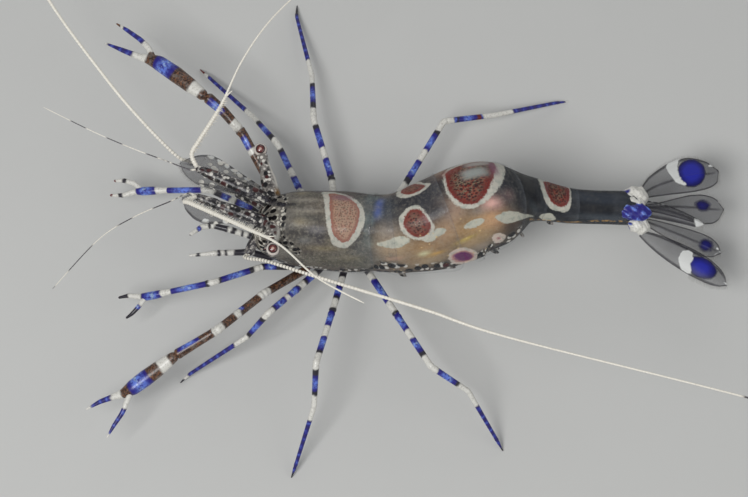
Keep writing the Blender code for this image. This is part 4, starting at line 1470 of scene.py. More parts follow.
WALKING_LEGS: tuple[Limb, ...] = (
    walking_leg(
        "walking_leg_3_left",
        ((-2.45, -0.1, 2.75), (-2.6, -0.45, 2.35), (-3.85, -1.85, 3.0), (-5.05, -3.1, 3.5), (-6.1, -3.9, 2.3),
         (-8.98, -5.22, 0.46), (-9.42, -5.52, 0.04)),
        "C0.42 W0.7 B1.12 C1.28 W1.7 C1.78 B2.42 W2.7 B3.46 "
        "C3.56 W4.16 C4.4 B5.3 C5.52 W6.38 V9.28 W9.62 C10.5",
        (1.76, 4.0, 5.75, 9.45),
    ),
    walking_leg(
        "walking_leg_4_left",
        ((-1.4, -0.1, 2.75), (-1.42, -0.45, 2.35), (-1.88, -2.42, 3.0), (-2.75, -5.75, 3.9), (-2.85, -7.45, 2.5),
         (-3.78, -9.85, 0.46), (-3.98, -10.3, 0.04)),
        "C0.62 W1.02 C1.2 B1.82 C1.98 W2.52 C2.74 B3.6 W4.18 "
        "B4.98 C5.18 W5.96 C6.32 B7.12 C7.34 W8.62 V11.56 C12.3",
        (2.68, 5.76, 7.96, 11.2),
    ),
    walking_leg(
        "walking_leg_5_left",
        ((-0.6, 0.05, 2.75), (-0.48, -0.28, 2.35), (0.84, -2.64, 3.05), (2.7, -5.85, 3.7), (4.5, -6.7, 2.5),
         (5.93, -8.55, 0.46), (6.22, -8.96, 0.04)),
        "C0.6 W1.06 B2.54 W3.14 C3.3 B4.34 W4.84 B5.7 C5.95 W6.96 B8.12 C8.28 W9.8 V12.45 C13.2",
        (3.34, 6.69, 9.01, 12.05),
    ),
    walking_leg(
        "walking_leg_3_right",
        ((-2.5, 0.95, 2.55), (-2.55, 1.05, 2.05), (-3.52, 3.53, 2.0), (-4.75, 6.25, 1.9), (-6.0, 8.05, 1.0),
         (-8.3, 10.5, 0.3), (-8.78, 11.05, 0.04)),
        "C2.1 W2.95 B3.72 W4.14 B5.1 C5.34 W6.04 C6.4 B7.32 C7.54 W8.58 V11.5 W11.82 R12.9",
        (3.05, 5.85, 8.22, 11.75),
    ),
    walking_leg(
        "walking_leg_4_right",
        ((-1.7, 0.95, 2.55), (-1.75, 1.1, 2.05), (-2.07, 4.32, 2.05), (-2.98, 7.5, 2.0), (-3.1, 10.25, 1.1),
         (-3.92, 13.86, 0.28), (-3.91, 14.58, 0.04)),
        "C2.4 W3.14 C3.46 B4.4 W4.95 B5.98 C6.26 W7.26 C7.6 B8.62 C8.9 W10.38 V13.32 C14.8",
        (3.38, 6.77, 9.66, 13.5),
    ),
    walking_leg(
        "walking_leg_5_right",
        ((-0.8, 0.95, 2.55), (-0.52, 1.05, 2.05), (1.46, 3.95, 2.05), (3.45, 7.42, 2.0), (6.0, 8.12, 1.1),
         (9.05, 9.12, 0.26), (9.78, 9.3, 0.04)),
        "C2.02 B2.9 C3.1 W3.76 C4.04 B5.12 W5.74 B6.72 C6.96 "
        "W8.12 B8.28 C8.38 B9.36 R9.56 B9.7 W11.34 V14.3 W15.2",
        (4.22, 7.72, 10.54, 14.0),
    ),
)

CLAWED_LIMBS: tuple[Limb, ...] = (
    Limb(
        "cheliped_1_arm_left",
        ((-3.85, -0.05, 2.75, 0.2), (-4.0, -0.3, 2.25, 0.17), (-5.37, -0.42, 2.6, 0.155),
         (-7.75, -1.52, 3.4, 0.15), (-9.88, -1.68, 2.5, 0.14)),
        bands("C0.78 B1.3 C1.46 W1.92 C2.14 B3.7 C3.82 W4.3 C4.48 B6.36 W7.4"),
        start=-0.6, articulations=(1.57, 4.26),
    ),
    Limb(
        "cheliped_1_hand_left",
        ((-9.84, -1.68, 2.52, 0.13), (-10.05, -1.68, 2.42, 0.155), (-10.45, -1.73, 2.26, 0.195),
         (-11.0, -1.76, 2.03, 0.2), (-11.35, -1.72, 1.9, 0.145), (-11.9, -1.6, 1.72, 0.11),
         (-12.42, -1.66, 1.56, 0.055)),
        bands("W0.46 B1.46 C1.52 W2.2 C3.2"),
    ),
    Limb(
        "cheliped_1_finger_left",
        ((-11.12, -1.86, 1.98, 0.12), (-11.35, -2.2, 1.93, 0.115), (-11.72, -2.56, 1.76, 0.095),
         (-12.02, -2.72, 1.58, 0.05)),
        bands("W0.36 B0.6 C2"),
    ),
    Limb(
        "cheliped_1_arm_right",
        ((-3.75, 1.0, 2.55, 0.2), (-3.85, 1.1, 2.0, 0.17), (-6.05, 2.62, 2.6, 0.165), (-8.0, 3.4, 3.0, 0.15),
         (-10.18, 3.64, 2.3, 0.145)),
        bands("C2.62 B3.42 C3.5 W3.76 B4.22 C4.58 W5.26 B7.1 W8.2"),
        start=-0.6, articulations=(2.87, 5.1),
    ),
    Limb(
        "cheliped_1_hand_right",
        ((-10.14, 3.64, 2.32, 0.13), (-10.35, 3.66, 2.24, 0.155), (-10.8, 3.7, 2.12, 0.205),
         (-11.35, 3.74, 1.93, 0.21), (-11.7, 3.76, 1.84, 0.145), (-12.3, 3.62, 1.68, 0.115),
         (-12.98, 3.7, 1.48, 0.06)),
        bands("W0.54 B1.6 W2.28 C2.54 W2.86 R3.6"),
    ),
    Limb(
        "cheliped_1_finger_right",
        ((-11.45, 3.86, 1.9, 0.12), (-11.75, 4.18, 1.84, 0.125), (-12.3, 4.4, 1.7, 0.115),
         (-12.8, 4.42, 1.58, 0.06)),
        bands("W0.9 C1.1 W1.46 R2.2"),
    ),
    Limb(
        "cheliped_2_arm_left",
        ((-3.1, -0.05, 2.75, 0.22), (-3.3, -0.42, 2.2, 0.2), (-5.3, -2.1, 3.4, 0.195), (-7.45, -4.2, 4.2, 0.205),
         (-8.6, -4.8, 3.8, 0.225), (-9.5, -5.24, 3.44, 0.27)),
        bands("N2.62 W3.3 N4.28 B4.58 W4.92 N5.68 W6.32 N6.98 B8.22 N9.4"),
        start=-0.6, slot="brown_limb", brown_side=-1, articulations=(3.01, 6.12), soft=0.07, sides=20,
    ),
    Limb(
        "cheliped_2_hand_left",
        ((-9.44, -5.22, 3.46, 0.22), (-9.75, -5.42, 3.33, 0.3), (-10.3, -5.8, 3.12, 0.37),
         (-10.9, -6.18, 2.88, 0.4), (-11.5, -6.58, 2.68, 0.37), (-11.95, -6.82, 2.5, 0.24),
         (-12.4, -6.92, 2.36, 0.155), (-13.1, -7.1, 2.1, 0.115), (-13.78, -7.42, 1.86, 0.04)),
        bands("N0.3 W1 N1.56 B2.78 N3.16 W3.76 V4.86 W5.6"),
        slot="brown_limb", soft=0.08, sides=22, flatness=0.85, bead=0.4,
    ),
    Limb(
        "cheliped_2_finger_left",
        ((-11.62, -6.86, 2.62, 0.13), (-11.78, -7.25, 2.56, 0.135), (-11.98, -7.75, 2.42, 0.12),
         (-12.4, -8.3, 2.12, 0.095), (-12.74, -8.84, 1.88, 0.035)),
        bands("W0.78 V2.16 W2.8"),
        slot="brown_limb", bead=0.38,
    ),
    Limb(
        "cheliped_2_arm_right",
        ((-3.1, 1.0, 2.5, 0.22), (-3.3, 1.15, 1.95, 0.21), (-4.2, 2.22, 2.4, 0.215), (-6.38, 6.08, 3.6, 0.23),
         (-7.38, 7.15, 4.05, 0.25), (-8.24, 7.83, 4.33, 0.29)),
        bands("C3.6 N4.9 W5.26 B5.98 N6.34 W6.9 N7.44 B8.42 N9.9"),
        start=-0.6, slot="brown_limb", brown_side=1, articulations=(2.6, 6.38), soft=0.07, sides=20,
    ),
    Limb(
        "cheliped_2_hand_right",
        ((-8.24, 7.74, 4.34, 0.24), (-8.5, 7.98, 4.34, 0.3), (-9.0, 8.4, 4.27, 0.37), (-9.7, 9.0, 4.18, 0.41),
         (-10.55, 9.66, 4.06, 0.38), (-11.05, 9.9, 3.98, 0.26), (-11.55, 10.06, 3.92, 0.165),
         (-12.4, 10.46, 3.82, 0.12), (-13.28, 10.9, 3.68, 0.04)),
        bands("N0.24 W0.92 N1.96 B3.18 N3.66 W4.46 V5.86 W6.5"),
        slot="brown_limb", soft=0.08, sides=22, flatness=0.85, bead=0.45,
    ),
    Limb(
        "cheliped_2_finger_right",
        ((-10.86, 10.02, 4.0, 0.14), (-11.1, 10.52, 3.97, 0.145), (-11.5, 10.98, 3.9, 0.125),
         (-12.2, 11.55, 3.8, 0.1), (-12.74, 11.95, 3.68, 0.035)),
        bands("N0.2 W0.92 V2.26 W2.48 N3.2"),
        slot="brown_limb", bead=0.45,
    ),
    Limb(
        "maxilliped_3_left",
        ((-4.75, 0.2, 3.1, 0.17), (-4.95, 0.05, 2.55, 0.16), (-6.0, 0.25, 2.8, 0.16), (-7.5, 0.15, 2.95, 0.14),
         (-8.95, 0.0, 3.0, 0.06)),
        bands("C0.95 W1.3 C1.9 W2.18 C2.32 W2.54 C2.72 W3.54 C3.72 W5"),
        start=-0.6, articulations=(1.21, 2.72),
    ),
    Limb(
        "maxilliped_3_right",
        ((-4.75, 0.75, 3.0, 0.17), (-4.95, 0.85, 2.45, 0.16), (-6.9, 1.4, 2.75, 0.15), (-7.8, 1.62, 2.8, 0.14),
         (-8.35, 1.55, 2.85, 0.135), (-8.94, 1.08, 2.9, 0.085)),
        bands("C1.2 W1.42 C1.56 W1.84 C2.04 W2.2 C2.88 W3.06 C3.2 W3.62 B3.82 W4.24 C5"),
        start=-0.6, articulations=(2.16, 3.1),
    ),
)


@dataclass(frozen=True)
class Feeler:
    """A long whip: its route, its thickness at both ends and where its white pigment lies."""

    node: str
    route: tuple[Point, ...]
    base_radius: float
    tip_radius: float
    thin_from: float  # how far along the thick part reaches, before the whip thins
    ring_mm: float
    white: tuple[tuple[float, float], ...]  # stretches of white, from and to; the rest is clear
    ringing: float = 0.3  # how dark the grooves between the rings of its base look


FEELERS: tuple[Feeler, ...] = (
    Feeler(
        "antennule_inner_left",
        ((-8.45, 1.77, 6.32), (-8.85, 1.95, 6.3), (-9.7, 1.45, 6.5), (-11.35, 0.6, 6.7), (-13.0, -0.55, 6.7),
         (-15.1, -2.9, 6.4)), 0.05, 0.02, 0.5, 0.16,
        ((0.0, 0.35), (0.55, 0.72), (0.9, 1.05), (1.18, 1.4), (2.3, 3.4), (4.2, 5.75), (7.35, 8.3)),
    ),
    Feeler(
        "antennule_inner_right",
        ((-8.45, 3.32, 5.98), (-8.85, 3.3, 6.0), (-10.05, 3.7, 6.2), (-11.5, 4.2, 6.4), (-13.35, 5.0, 6.5),
         (-15.85, 6.3, 6.5)), 0.05, 0.02, 0.5, 0.16,
        ((0.0, 0.3), (1.25, 1.42), (1.55, 1.68), (1.8, 1.95), (2.55, 3.75), (4.6, 5.75), (6.6, 8.1)),
    ),
    Feeler(
        "antennule_outer_left",
        ((-8.45, 1.74, 6.44), (-8.95, 1.4, 6.7), (-8.55, 1.1, 7.1), (-6.0, -0.5, 8.2), (-4.35, -1.65, 9.0),
         (-2.6, -3.4, 9.4), (-0.45, -4.7, 9.6)), 0.11, 0.038, 5.6, 0.13, ((0.0, 12.0),),
    ),
    Feeler(
        "antennule_outer_right",
        ((-8.45, 3.38, 6.06), (-8.7, 3.95, 6.35), (-8.3, 4.6, 6.65), (-7.3, 6.1, 7.2), (-6.3, 8.05, 8.0),
         (-4.95, 9.9, 8.6), (-3.0, 11.9, 8.8)), 0.11, 0.036, 3.6, 0.13, ((0.0, 13.0),),
    ),
    Feeler(
        "antenna_flagellum_left",
        ((-5.95, -0.42, 4.38), (-6.2, -0.58, 4.5), (-5.98, -0.78, 4.75), (-5.35, -0.98, 5.1), (-4.7, -1.27, 5.4),
         (-3.36, -1.86, 5.8), (-1.0, -2.8, 6.3), (2.5, -4.1, 6.8), (6.35, -5.55, 7.1), (17.15, -8.6, 7.6),
         (27.45, -11.55, 7.4)), 0.082, 0.042, 13.0, 0.17, ((0.0, 25.3), (26.2, 28.3), (28.9, 40.0)), ringing=0.95,
    ),
    Feeler(
        "antenna_flagellum_right",
        ((-6.62, 2.78, 4.1), (-7.05, 2.95, 4.08), (-8.75, 4.25, 4.3), (-9.6, 4.6, 4.6), (-11.5, 6.45, 5.2),
         (-13.15, 8.35, 5.8), (-15.7, 11.75, 6.6), (-18.3, 16.2, 7.3), (-19.9, 21.5, 7.5), (-20.08, 26.5, 7.1),
         (-19.0, 31.45, 6.3)), 0.08, 0.042, 20.0, 0.17, ((0.0, 60.0),), ringing=0.7,
    ),
)


@dataclass
class Feelers:
    """All the whips, with the rings of each and the smelling hairs of the outer pair."""

    tree: RingedFeelerTree
    bristles: BristleTree
    step: float = 0.12
    swell: float = 0.12  # how far each ring swells, as a share of the radius
    fade: float = 0.03  # half the length over which the white fades in
    sides: int = 10
    hair_reach: float = 0.26
    hair_inputs: tuple[tuple[str, float], ...] = (("Spacing", 0.11 * MM), ("Thickness", 0.045 * MM), ("Splay", 0.45))
    hair_tilts: tuple[float, ...] = (-0.5, 0.1, 0.7)  # each row's angle over the horizontal, in radians

    def build(self, finish: Material) -> None:
        """Builds every whip with the given material."""
        for feeler in FEELERS:
            line = flowing_line(feeler.route, self.step)
            run = distance_along(line)
            thinned = smooth_step(feeler.thin_from * 0.7, feeler.thin_from * 1.3, run)
            thickness = 0.35 * (1 - run / run[-1]) + 0.65 * (1 - thinned)
            radius = feeler.tip_radius + (feeler.base_radius - feeler.tip_radius) * thickness
            white = np.zeros(len(run))
            for begin, end in feeler.white:
                steps = (begin - self.fade, begin + self.fade), (end - self.fade, end + self.fade)
                white = np.maximum(white, window(run, *steps))
            ringed = feeler.ringing * (1 - smooth_step(2.5, 9.0, run))
            values = {"thick": radius * taper(run[-1] - run, 0.3, 0.15) * MM, "white": white, "ringed": ringed}
            self._whip(feeler.node + "_whip", feeler, line, values, self.sides, finish, feeler.node)
            if "outer" in feeler.node:
                self._smelling_hairs(feeler, line, run, finish)

    def _whip(
        self, name: str, feeler: Feeler, line: Array, values: dict[str, Array], sides: int,
        finish: Material, *nodes: str,
    ) -> None:
        """Grows one ringed whip.

        Args:
            name: The piece's name.
            feeler: The feeler that it belongs to.
            line: Its line.
            values: Its thickness and pigment at each point.
            sides: Points round each ring.
            finish: Its material.
            *nodes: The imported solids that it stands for.
        """
        inputs = {"Ring length": feeler.ring_mm * MM, "Ring swell": self.swell, "Sides": sides, "Finish": finish}
        settle(self.tree.grow(name, guide_lines([line], [values]), inputs), "feeler", *nodes)

    def _smelling_hairs(self, feeler: Feeler, line: Array, run: Array, finish: Material) -> None:
        """Grows the ragged row of smelling hairs, and the short stub that forks off beyond it.

        Args:
            feeler: The outer whip that carries them.
            line: Its line.
            run: Distance along it of each point.
            finish: Their material.
        """
        thick = (run > 0.7) & (run < feeler.thin_from)
        heading = unit(np.gradient(line, axis=0))
        inward = unit(np.cross(heading, UP)) * (1.0 if feeler.node.endswith("right") else -1.0)
        held = []
        for tilt in self.hair_tilts:
            out = unit(inward * math.cos(tilt) + UP * math.sin(tilt) + 0.5 * heading)[thick]
            held.append({"out": out, "reach": np.full(len(out), self.hair_reach * MM), "white": np.ones(len(out))})
        inputs = dict(self.hair_inputs) | {"Seed": 5, "Finish": finish}
        guide = guide_lines([line[thick]] * len(held), held)
        settle(self.bristles.grow(feeler.node + "_smelling_hairs", guide, inputs), "feeler")
        fork = int(np.searchsorted(run, feeler.thin_from))
        shares = ((0.0, 0.0), (0.25, 0.05), (0.55, 0.18))  # how far the stub runs ahead and to the inside
        stub = flowing_line([tuple(line[fork] + on * heading[fork] + off * inward[fork]) for on, off in shares], 0.05)
        count = len(stub)
        values = {"thick": np.linspace(0.07, 0.02, count) * MM, "white": np.ones(count), "ringed": np.full(count, 0.3)}
        self._whip(feeler.node + "_stub", feeler, stub, values, self.sides - 2, finish)


# ---------------------------------------------------------------- head


@dataclass
class Head:
    """Eyes on their stalks and the stout base joints of the feelers."""

    eye_radius: float = 0.35
    cup: float = 0.2  # how far short of the eye's middle its stalk ends
    eyes: dict[Side, tuple[Point, Point]] = field(
        default_factory=lambda: {
            Side.LEFT: ((-4.85, 0.55, 5.75), (-4.75, -1.05, 6.8)),
            Side.RIGHT: ((-4.78, 1.78, 5.6), (-5.45, 4.5, 5.5)),
        }
    )
    upward: Point = (0.0, -0.2, 0.98)  # the way both eyes look
    joint_sides: int = 24
    stalk_sides: int = 28
    ball_rings: int = 34
    ball_sides: int = 48
    inner_share: float = 0.93  # the eye's radius under its cornea, as a share of the whole
    stalk_places: tuple[float, ...] = (0.0, 0.15, 0.45, 0.74, 0.88, 1.0)  # shares along the stalk
    stalk_radii: tuple[float, ...] = (0.38, 0.41, 0.38, 0.26, 0.25, 0.28)  # its radius at each
    peduncles: tuple[tuple[str, tuple[tuple[float, float, float, float], ...]], ...] = (
        ("antennule_peduncle_left",
         ((-5.1, 0.62, 5.75, 0.36), (-5.75, 0.8, 6.12, 0.31), (-6.45, 1.03, 6.2, 0.27), (-6.62, 1.09, 6.21, 0.3),
          (-7.4, 1.36, 6.28, 0.24), (-7.56, 1.43, 6.29, 0.27), (-8.52, 1.8, 6.36, 0.16))),
        ("antennule_peduncle_right",
         ((-5.1, 1.85, 5.65, 0.36), (-5.75, 2.14, 5.88, 0.33), (-6.45, 2.45, 5.91, 0.3), (-6.62, 2.53, 5.92, 0.33),
          (-7.4, 2.88, 5.96, 0.26), (-7.56, 2.95, 5.96, 0.29), (-8.52, 3.38, 6.0, 0.16))),
        ("antenna_peduncle_left",
         ((-5.0, 0.6, 4.45, 0.36), (-5.5, 0.5, 4.4, 0.32), (-5.85, 0.0, 4.37, 0.26), (-6.08, -0.5, 4.35, 0.18))),
        ("antenna_peduncle_right",
         ((-5.0, 1.85, 4.3, 0.36), (-5.5, 2.3, 4.2, 0.32), (-6.2, 2.6, 4.15, 0.26), (-6.72, 2.82, 4.1, 0.18))),
    )

    def build(self, speckled: Material, stalks: Material, eye: Material, cornea: Material) -> None:
        """Builds the eyes, their stalks and the base joints.

        Args:
            speckled: Finish of the base joints.
            stalks: Finish of the eyestalks.
            eye: Finish of the eyes.
            cornea: Finish of the clear skin over them.
        """
        for side, (base, eye_middle) in self.eyes.items():
            self._stalk(side, np.array(base), np.array(eye_middle), stalks)
            node, middle, inner = f"eye_{side.word}", np.array(eye_middle), self.eye_radius * self.inner_share
            self._ball(node, middle, inner, eye, "eye", node)
            self._ball(f"cornea_{side.word}", middle, self.eye_radius, cornea, "clear_shell")
        for node, joints in self.peduncles:
            line, run, radius = jointed_line(np.array(joints), 0.05)
            radius = np.convolve(np.pad(radius, 2, "edge"), np.hanning(7)[1:-1] / np.hanning(7).sum(), "valid")
            radius = radius * taper(run[-1] - run, 0.12, 0.05)
            rings = ringed_tube(eased(line, 3), radius, self.joint_sides, 0.85)
            values = {name: np.zeros(rings.shape[:2]) for name in ("white", "amber")}
            settle(mesh_object(node + "_joints", tube_skin(rings, values), speckled), "banded_limb", node)

    def _stalk(self, side: Side, base: Array, tip: Array, finish: Material) -> None:
        """Builds one eyestalk: a dotted stem, wide at its root, that ends in a cup for the eye."""
        forward = unit(tip - base)
        line = even_steps(np.array([base, (base + tip) / 2, tip - self.cup * forward]), 0.04)
        t = np.linspace(0, 1, len(line))
        radius = np.interp(t, self.stalk_places, self.stalk_radii) * taper(1 - t, 0.06, 0.02)
        rings = ringed_tube(line, radius, self.stalk_sides, 0.9)
        turn = np.linspace(0, 2 * math.pi, self.stalk_sides, endpoint=False)[None, :]
        headward = np.sign(np.cross(forward, UP)[0]) * np.cos(turn)
        stripe = smooth_step(0.55, 0.75, headward) * window(t, (0.15, 0.3), (0.75, 0.9))[:, None]
        amber = 0.9 * np.exp(-(((t - 0.14) / 0.07) ** 2))[:, None] * smooth_step(0.2, 0.7, headward)
        skin = tube_skin(rings, {"white": stripe, "amber": amber})
        node = f"eyestalk_{side.word}"
        settle(mesh_object(node + "_stem", skin, finish), "banded_limb", node)

    def _ball(self, name: str, middle: Array, radius: float, finish: Material, slot: str, *nodes: str) -> None:
        """Builds a ball ringed about the way the eye looks.

        Args:
            name: What the ball is.
            middle: Its middle.
            radius: Its radius.
            finish: Its material.
            slot: Its material slot.
            *nodes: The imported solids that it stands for.
        """
        axis = unit(np.array(self.upward))
        across = unit(np.cross(axis, (1.0, 0.0, 0.0)))
        third = np.cross(axis, across)
        polar = np.linspace(0.04, math.pi - 0.04, self.ball_rings)
        tilt = polar[:, None, None]
        around = np.linspace(0, 2 * math.pi, self.ball_sides, endpoint=False)[None, :, None]
        spokes = np.cos(around) * across + np.sin(around) * third
        rings = middle + radius * np.cos(tilt) * axis + radius * np.sin(tilt) * spokes
        skin = tube_skin(rings, {"turn": np.repeat(polar[:, None], self.ball_sides, axis=1)})
        settle(mesh_object(name + "_ball", skin, finish), slot, *nodes)


@dataclass
class Rostrum:
    """The toothed clear blade that grows out of the back of the carapace and runs between the eyes."""

    crest_stations: tuple[float, ...] = (-3.88, -4.1, -4.38)
    beyond: tuple[Point, ...] = ((-4.85, 1.42, 6.52), (-5.6, 1.62, 6.72), (-7.0, 1.92, 6.92), (-8.4, 2.2, 7.1))
    teeth: tuple[float, ...] = (0.1, 0.22, 0.34, 0.46, 0.58, 0.69, 0.79, 0.88)
    tooth_height: float = 0.2
    tooth_length: float = 0.42
    depth: float = 0.52
    lean: float = 15.0  # its lean to the right, in degrees
    wall: float = 0.075
    rows: int = 260
    columns: int = 9

    def build(self, finish: Material) -> None:
        """Builds the rostrum with the given material."""
        x = np.array(self.crest_stations)
        crest = TRUNK.surface(x[:, None], np.zeros((len(x), 1)), 1.0)[:, 0]
        line = flowing_line([*map(tuple, crest), *self.beyond], 0.02)
        wanted, held = np.linspace(0, 1, self.rows), np.linspace(0, 1, len(line))
        line = np.stack([np.interp(wanted, held, line[:, k]) for k in range(3)], 1)
        run = distance_along(line)
        share = run / run[-1]
        heading = unit(np.gradient(line, axis=0))
        lean = math.radians(self.lean)
        up = np.array((0.0, math.sin(lean), math.cos(lean)))
        up = unit(up - heading * (heading @ up)[:, None])
        side = np.cross(heading, up)
        body = self.depth * np.interp(share, (0, 0.25, 0.45, 0.9, 1.0), (0.1, 0.45, 0.55, 0.22, 0.02))
        teeth = np.zeros(len(run))
        for tip in self.teeth:
            back = (tip * run[-1] - run) / self.tooth_length
            shape = np.where(back >= 0, np.clip(1 - back, 0, 1) ** 1.6, np.clip(1 + 7 * back, 0, 1))
            teeth = np.maximum(teeth, self.tooth_height * (1 - 0.55 * tip) * shape)
        upper = body * 0.5 + teeth
        lower = -body * 0.5 - 0.1 * (1 - smooth_step(0.28, 0.36, share))
        across = np.linspace(0, 1, self.columns)
        heights = lower[:, None] + (upper - lower)[:, None] * across
        thick = self.wall * (1 - 0.75 * across[None, :] ** 2) * taper(1 - share, 0.08, 0.2)[:, None]
        middle = line[:, None] + heights[..., None] * up[:, None]
        values = {name: np.full(heights.shape, -1.0) for name in ("blue", "white")}
        values["rib"] = np.exp(-(((across - 0.25) / 0.12) ** 2)) * (0.9 * smooth_step(0.28, 0.4, share))[:, None]
        values["fleck"] = np.repeat((0.9 * window(share, (0.22, 0.28), (0.38, 0.55)))[:, None], self.columns, 1)
        half = thick[..., None] * side[:, None] / 2
        skin = sheet_skin(middle + half, middle - half, values)
        settle(mesh_object("rostrum_blade", skin, finish), "clear_shell", "rostrum")


# ---------------------------------------------------------------- scales and fins


@dataclass(frozen=True)
class Oval:
    """An oval of pigment on a fin: its middle, its two half-lengths and its turn in degrees."""

    along: float
    across: float
    half_long: float
    half_short: float
    turn: float = 0.0
    richness: float = 1.0  # how fast its colour deepens away from its rim

    def depth(self, along: Array, across: Array) -> Array:
        """Returns roughly how many millimetres each point lies inside the oval."""
        angle = math.radians(self.turn)
        dx, dy = along - self.along, across - self.across
        long = (dx * math.cos(angle) + dy * math.sin(angle)) / self.half_long
        short = (-dx * math.sin(angle) + dy * math.cos(angle)) / self.half_short
        return (1 - np.hypot(long, short)) * self.half_short * self.richness


@dataclass(frozen=True)
class Fin:
    """A thin curved blade: its axis, the way it faces, its outline and its pigment."""

    node: str
    base: Point
    tip: Point
    facing: Point
    outline: tuple[tuple[float, float, float], ...]  # distance along, then the two edges across
    slot: str
    camber: float = 0.1
    ribs: tuple[float, ...] = (0.5,)  # where ribs run, as shares across
    ovals: tuple[Oval, ...] = ()
    whites: tuple[tuple[Spot, ...], ...] = ()
    dots: tuple[Oval, ...] = ()
    flecks: tuple[float, float] = (-1.0, 0.0)  # flecks fade out between these distances along
    fringe: tuple[float, float] = (0.3, 0.98)  # the bristles' share of the edge, from and to
    bristle: float = 0.22
    edging: float = 1.0  # how dark its edge is


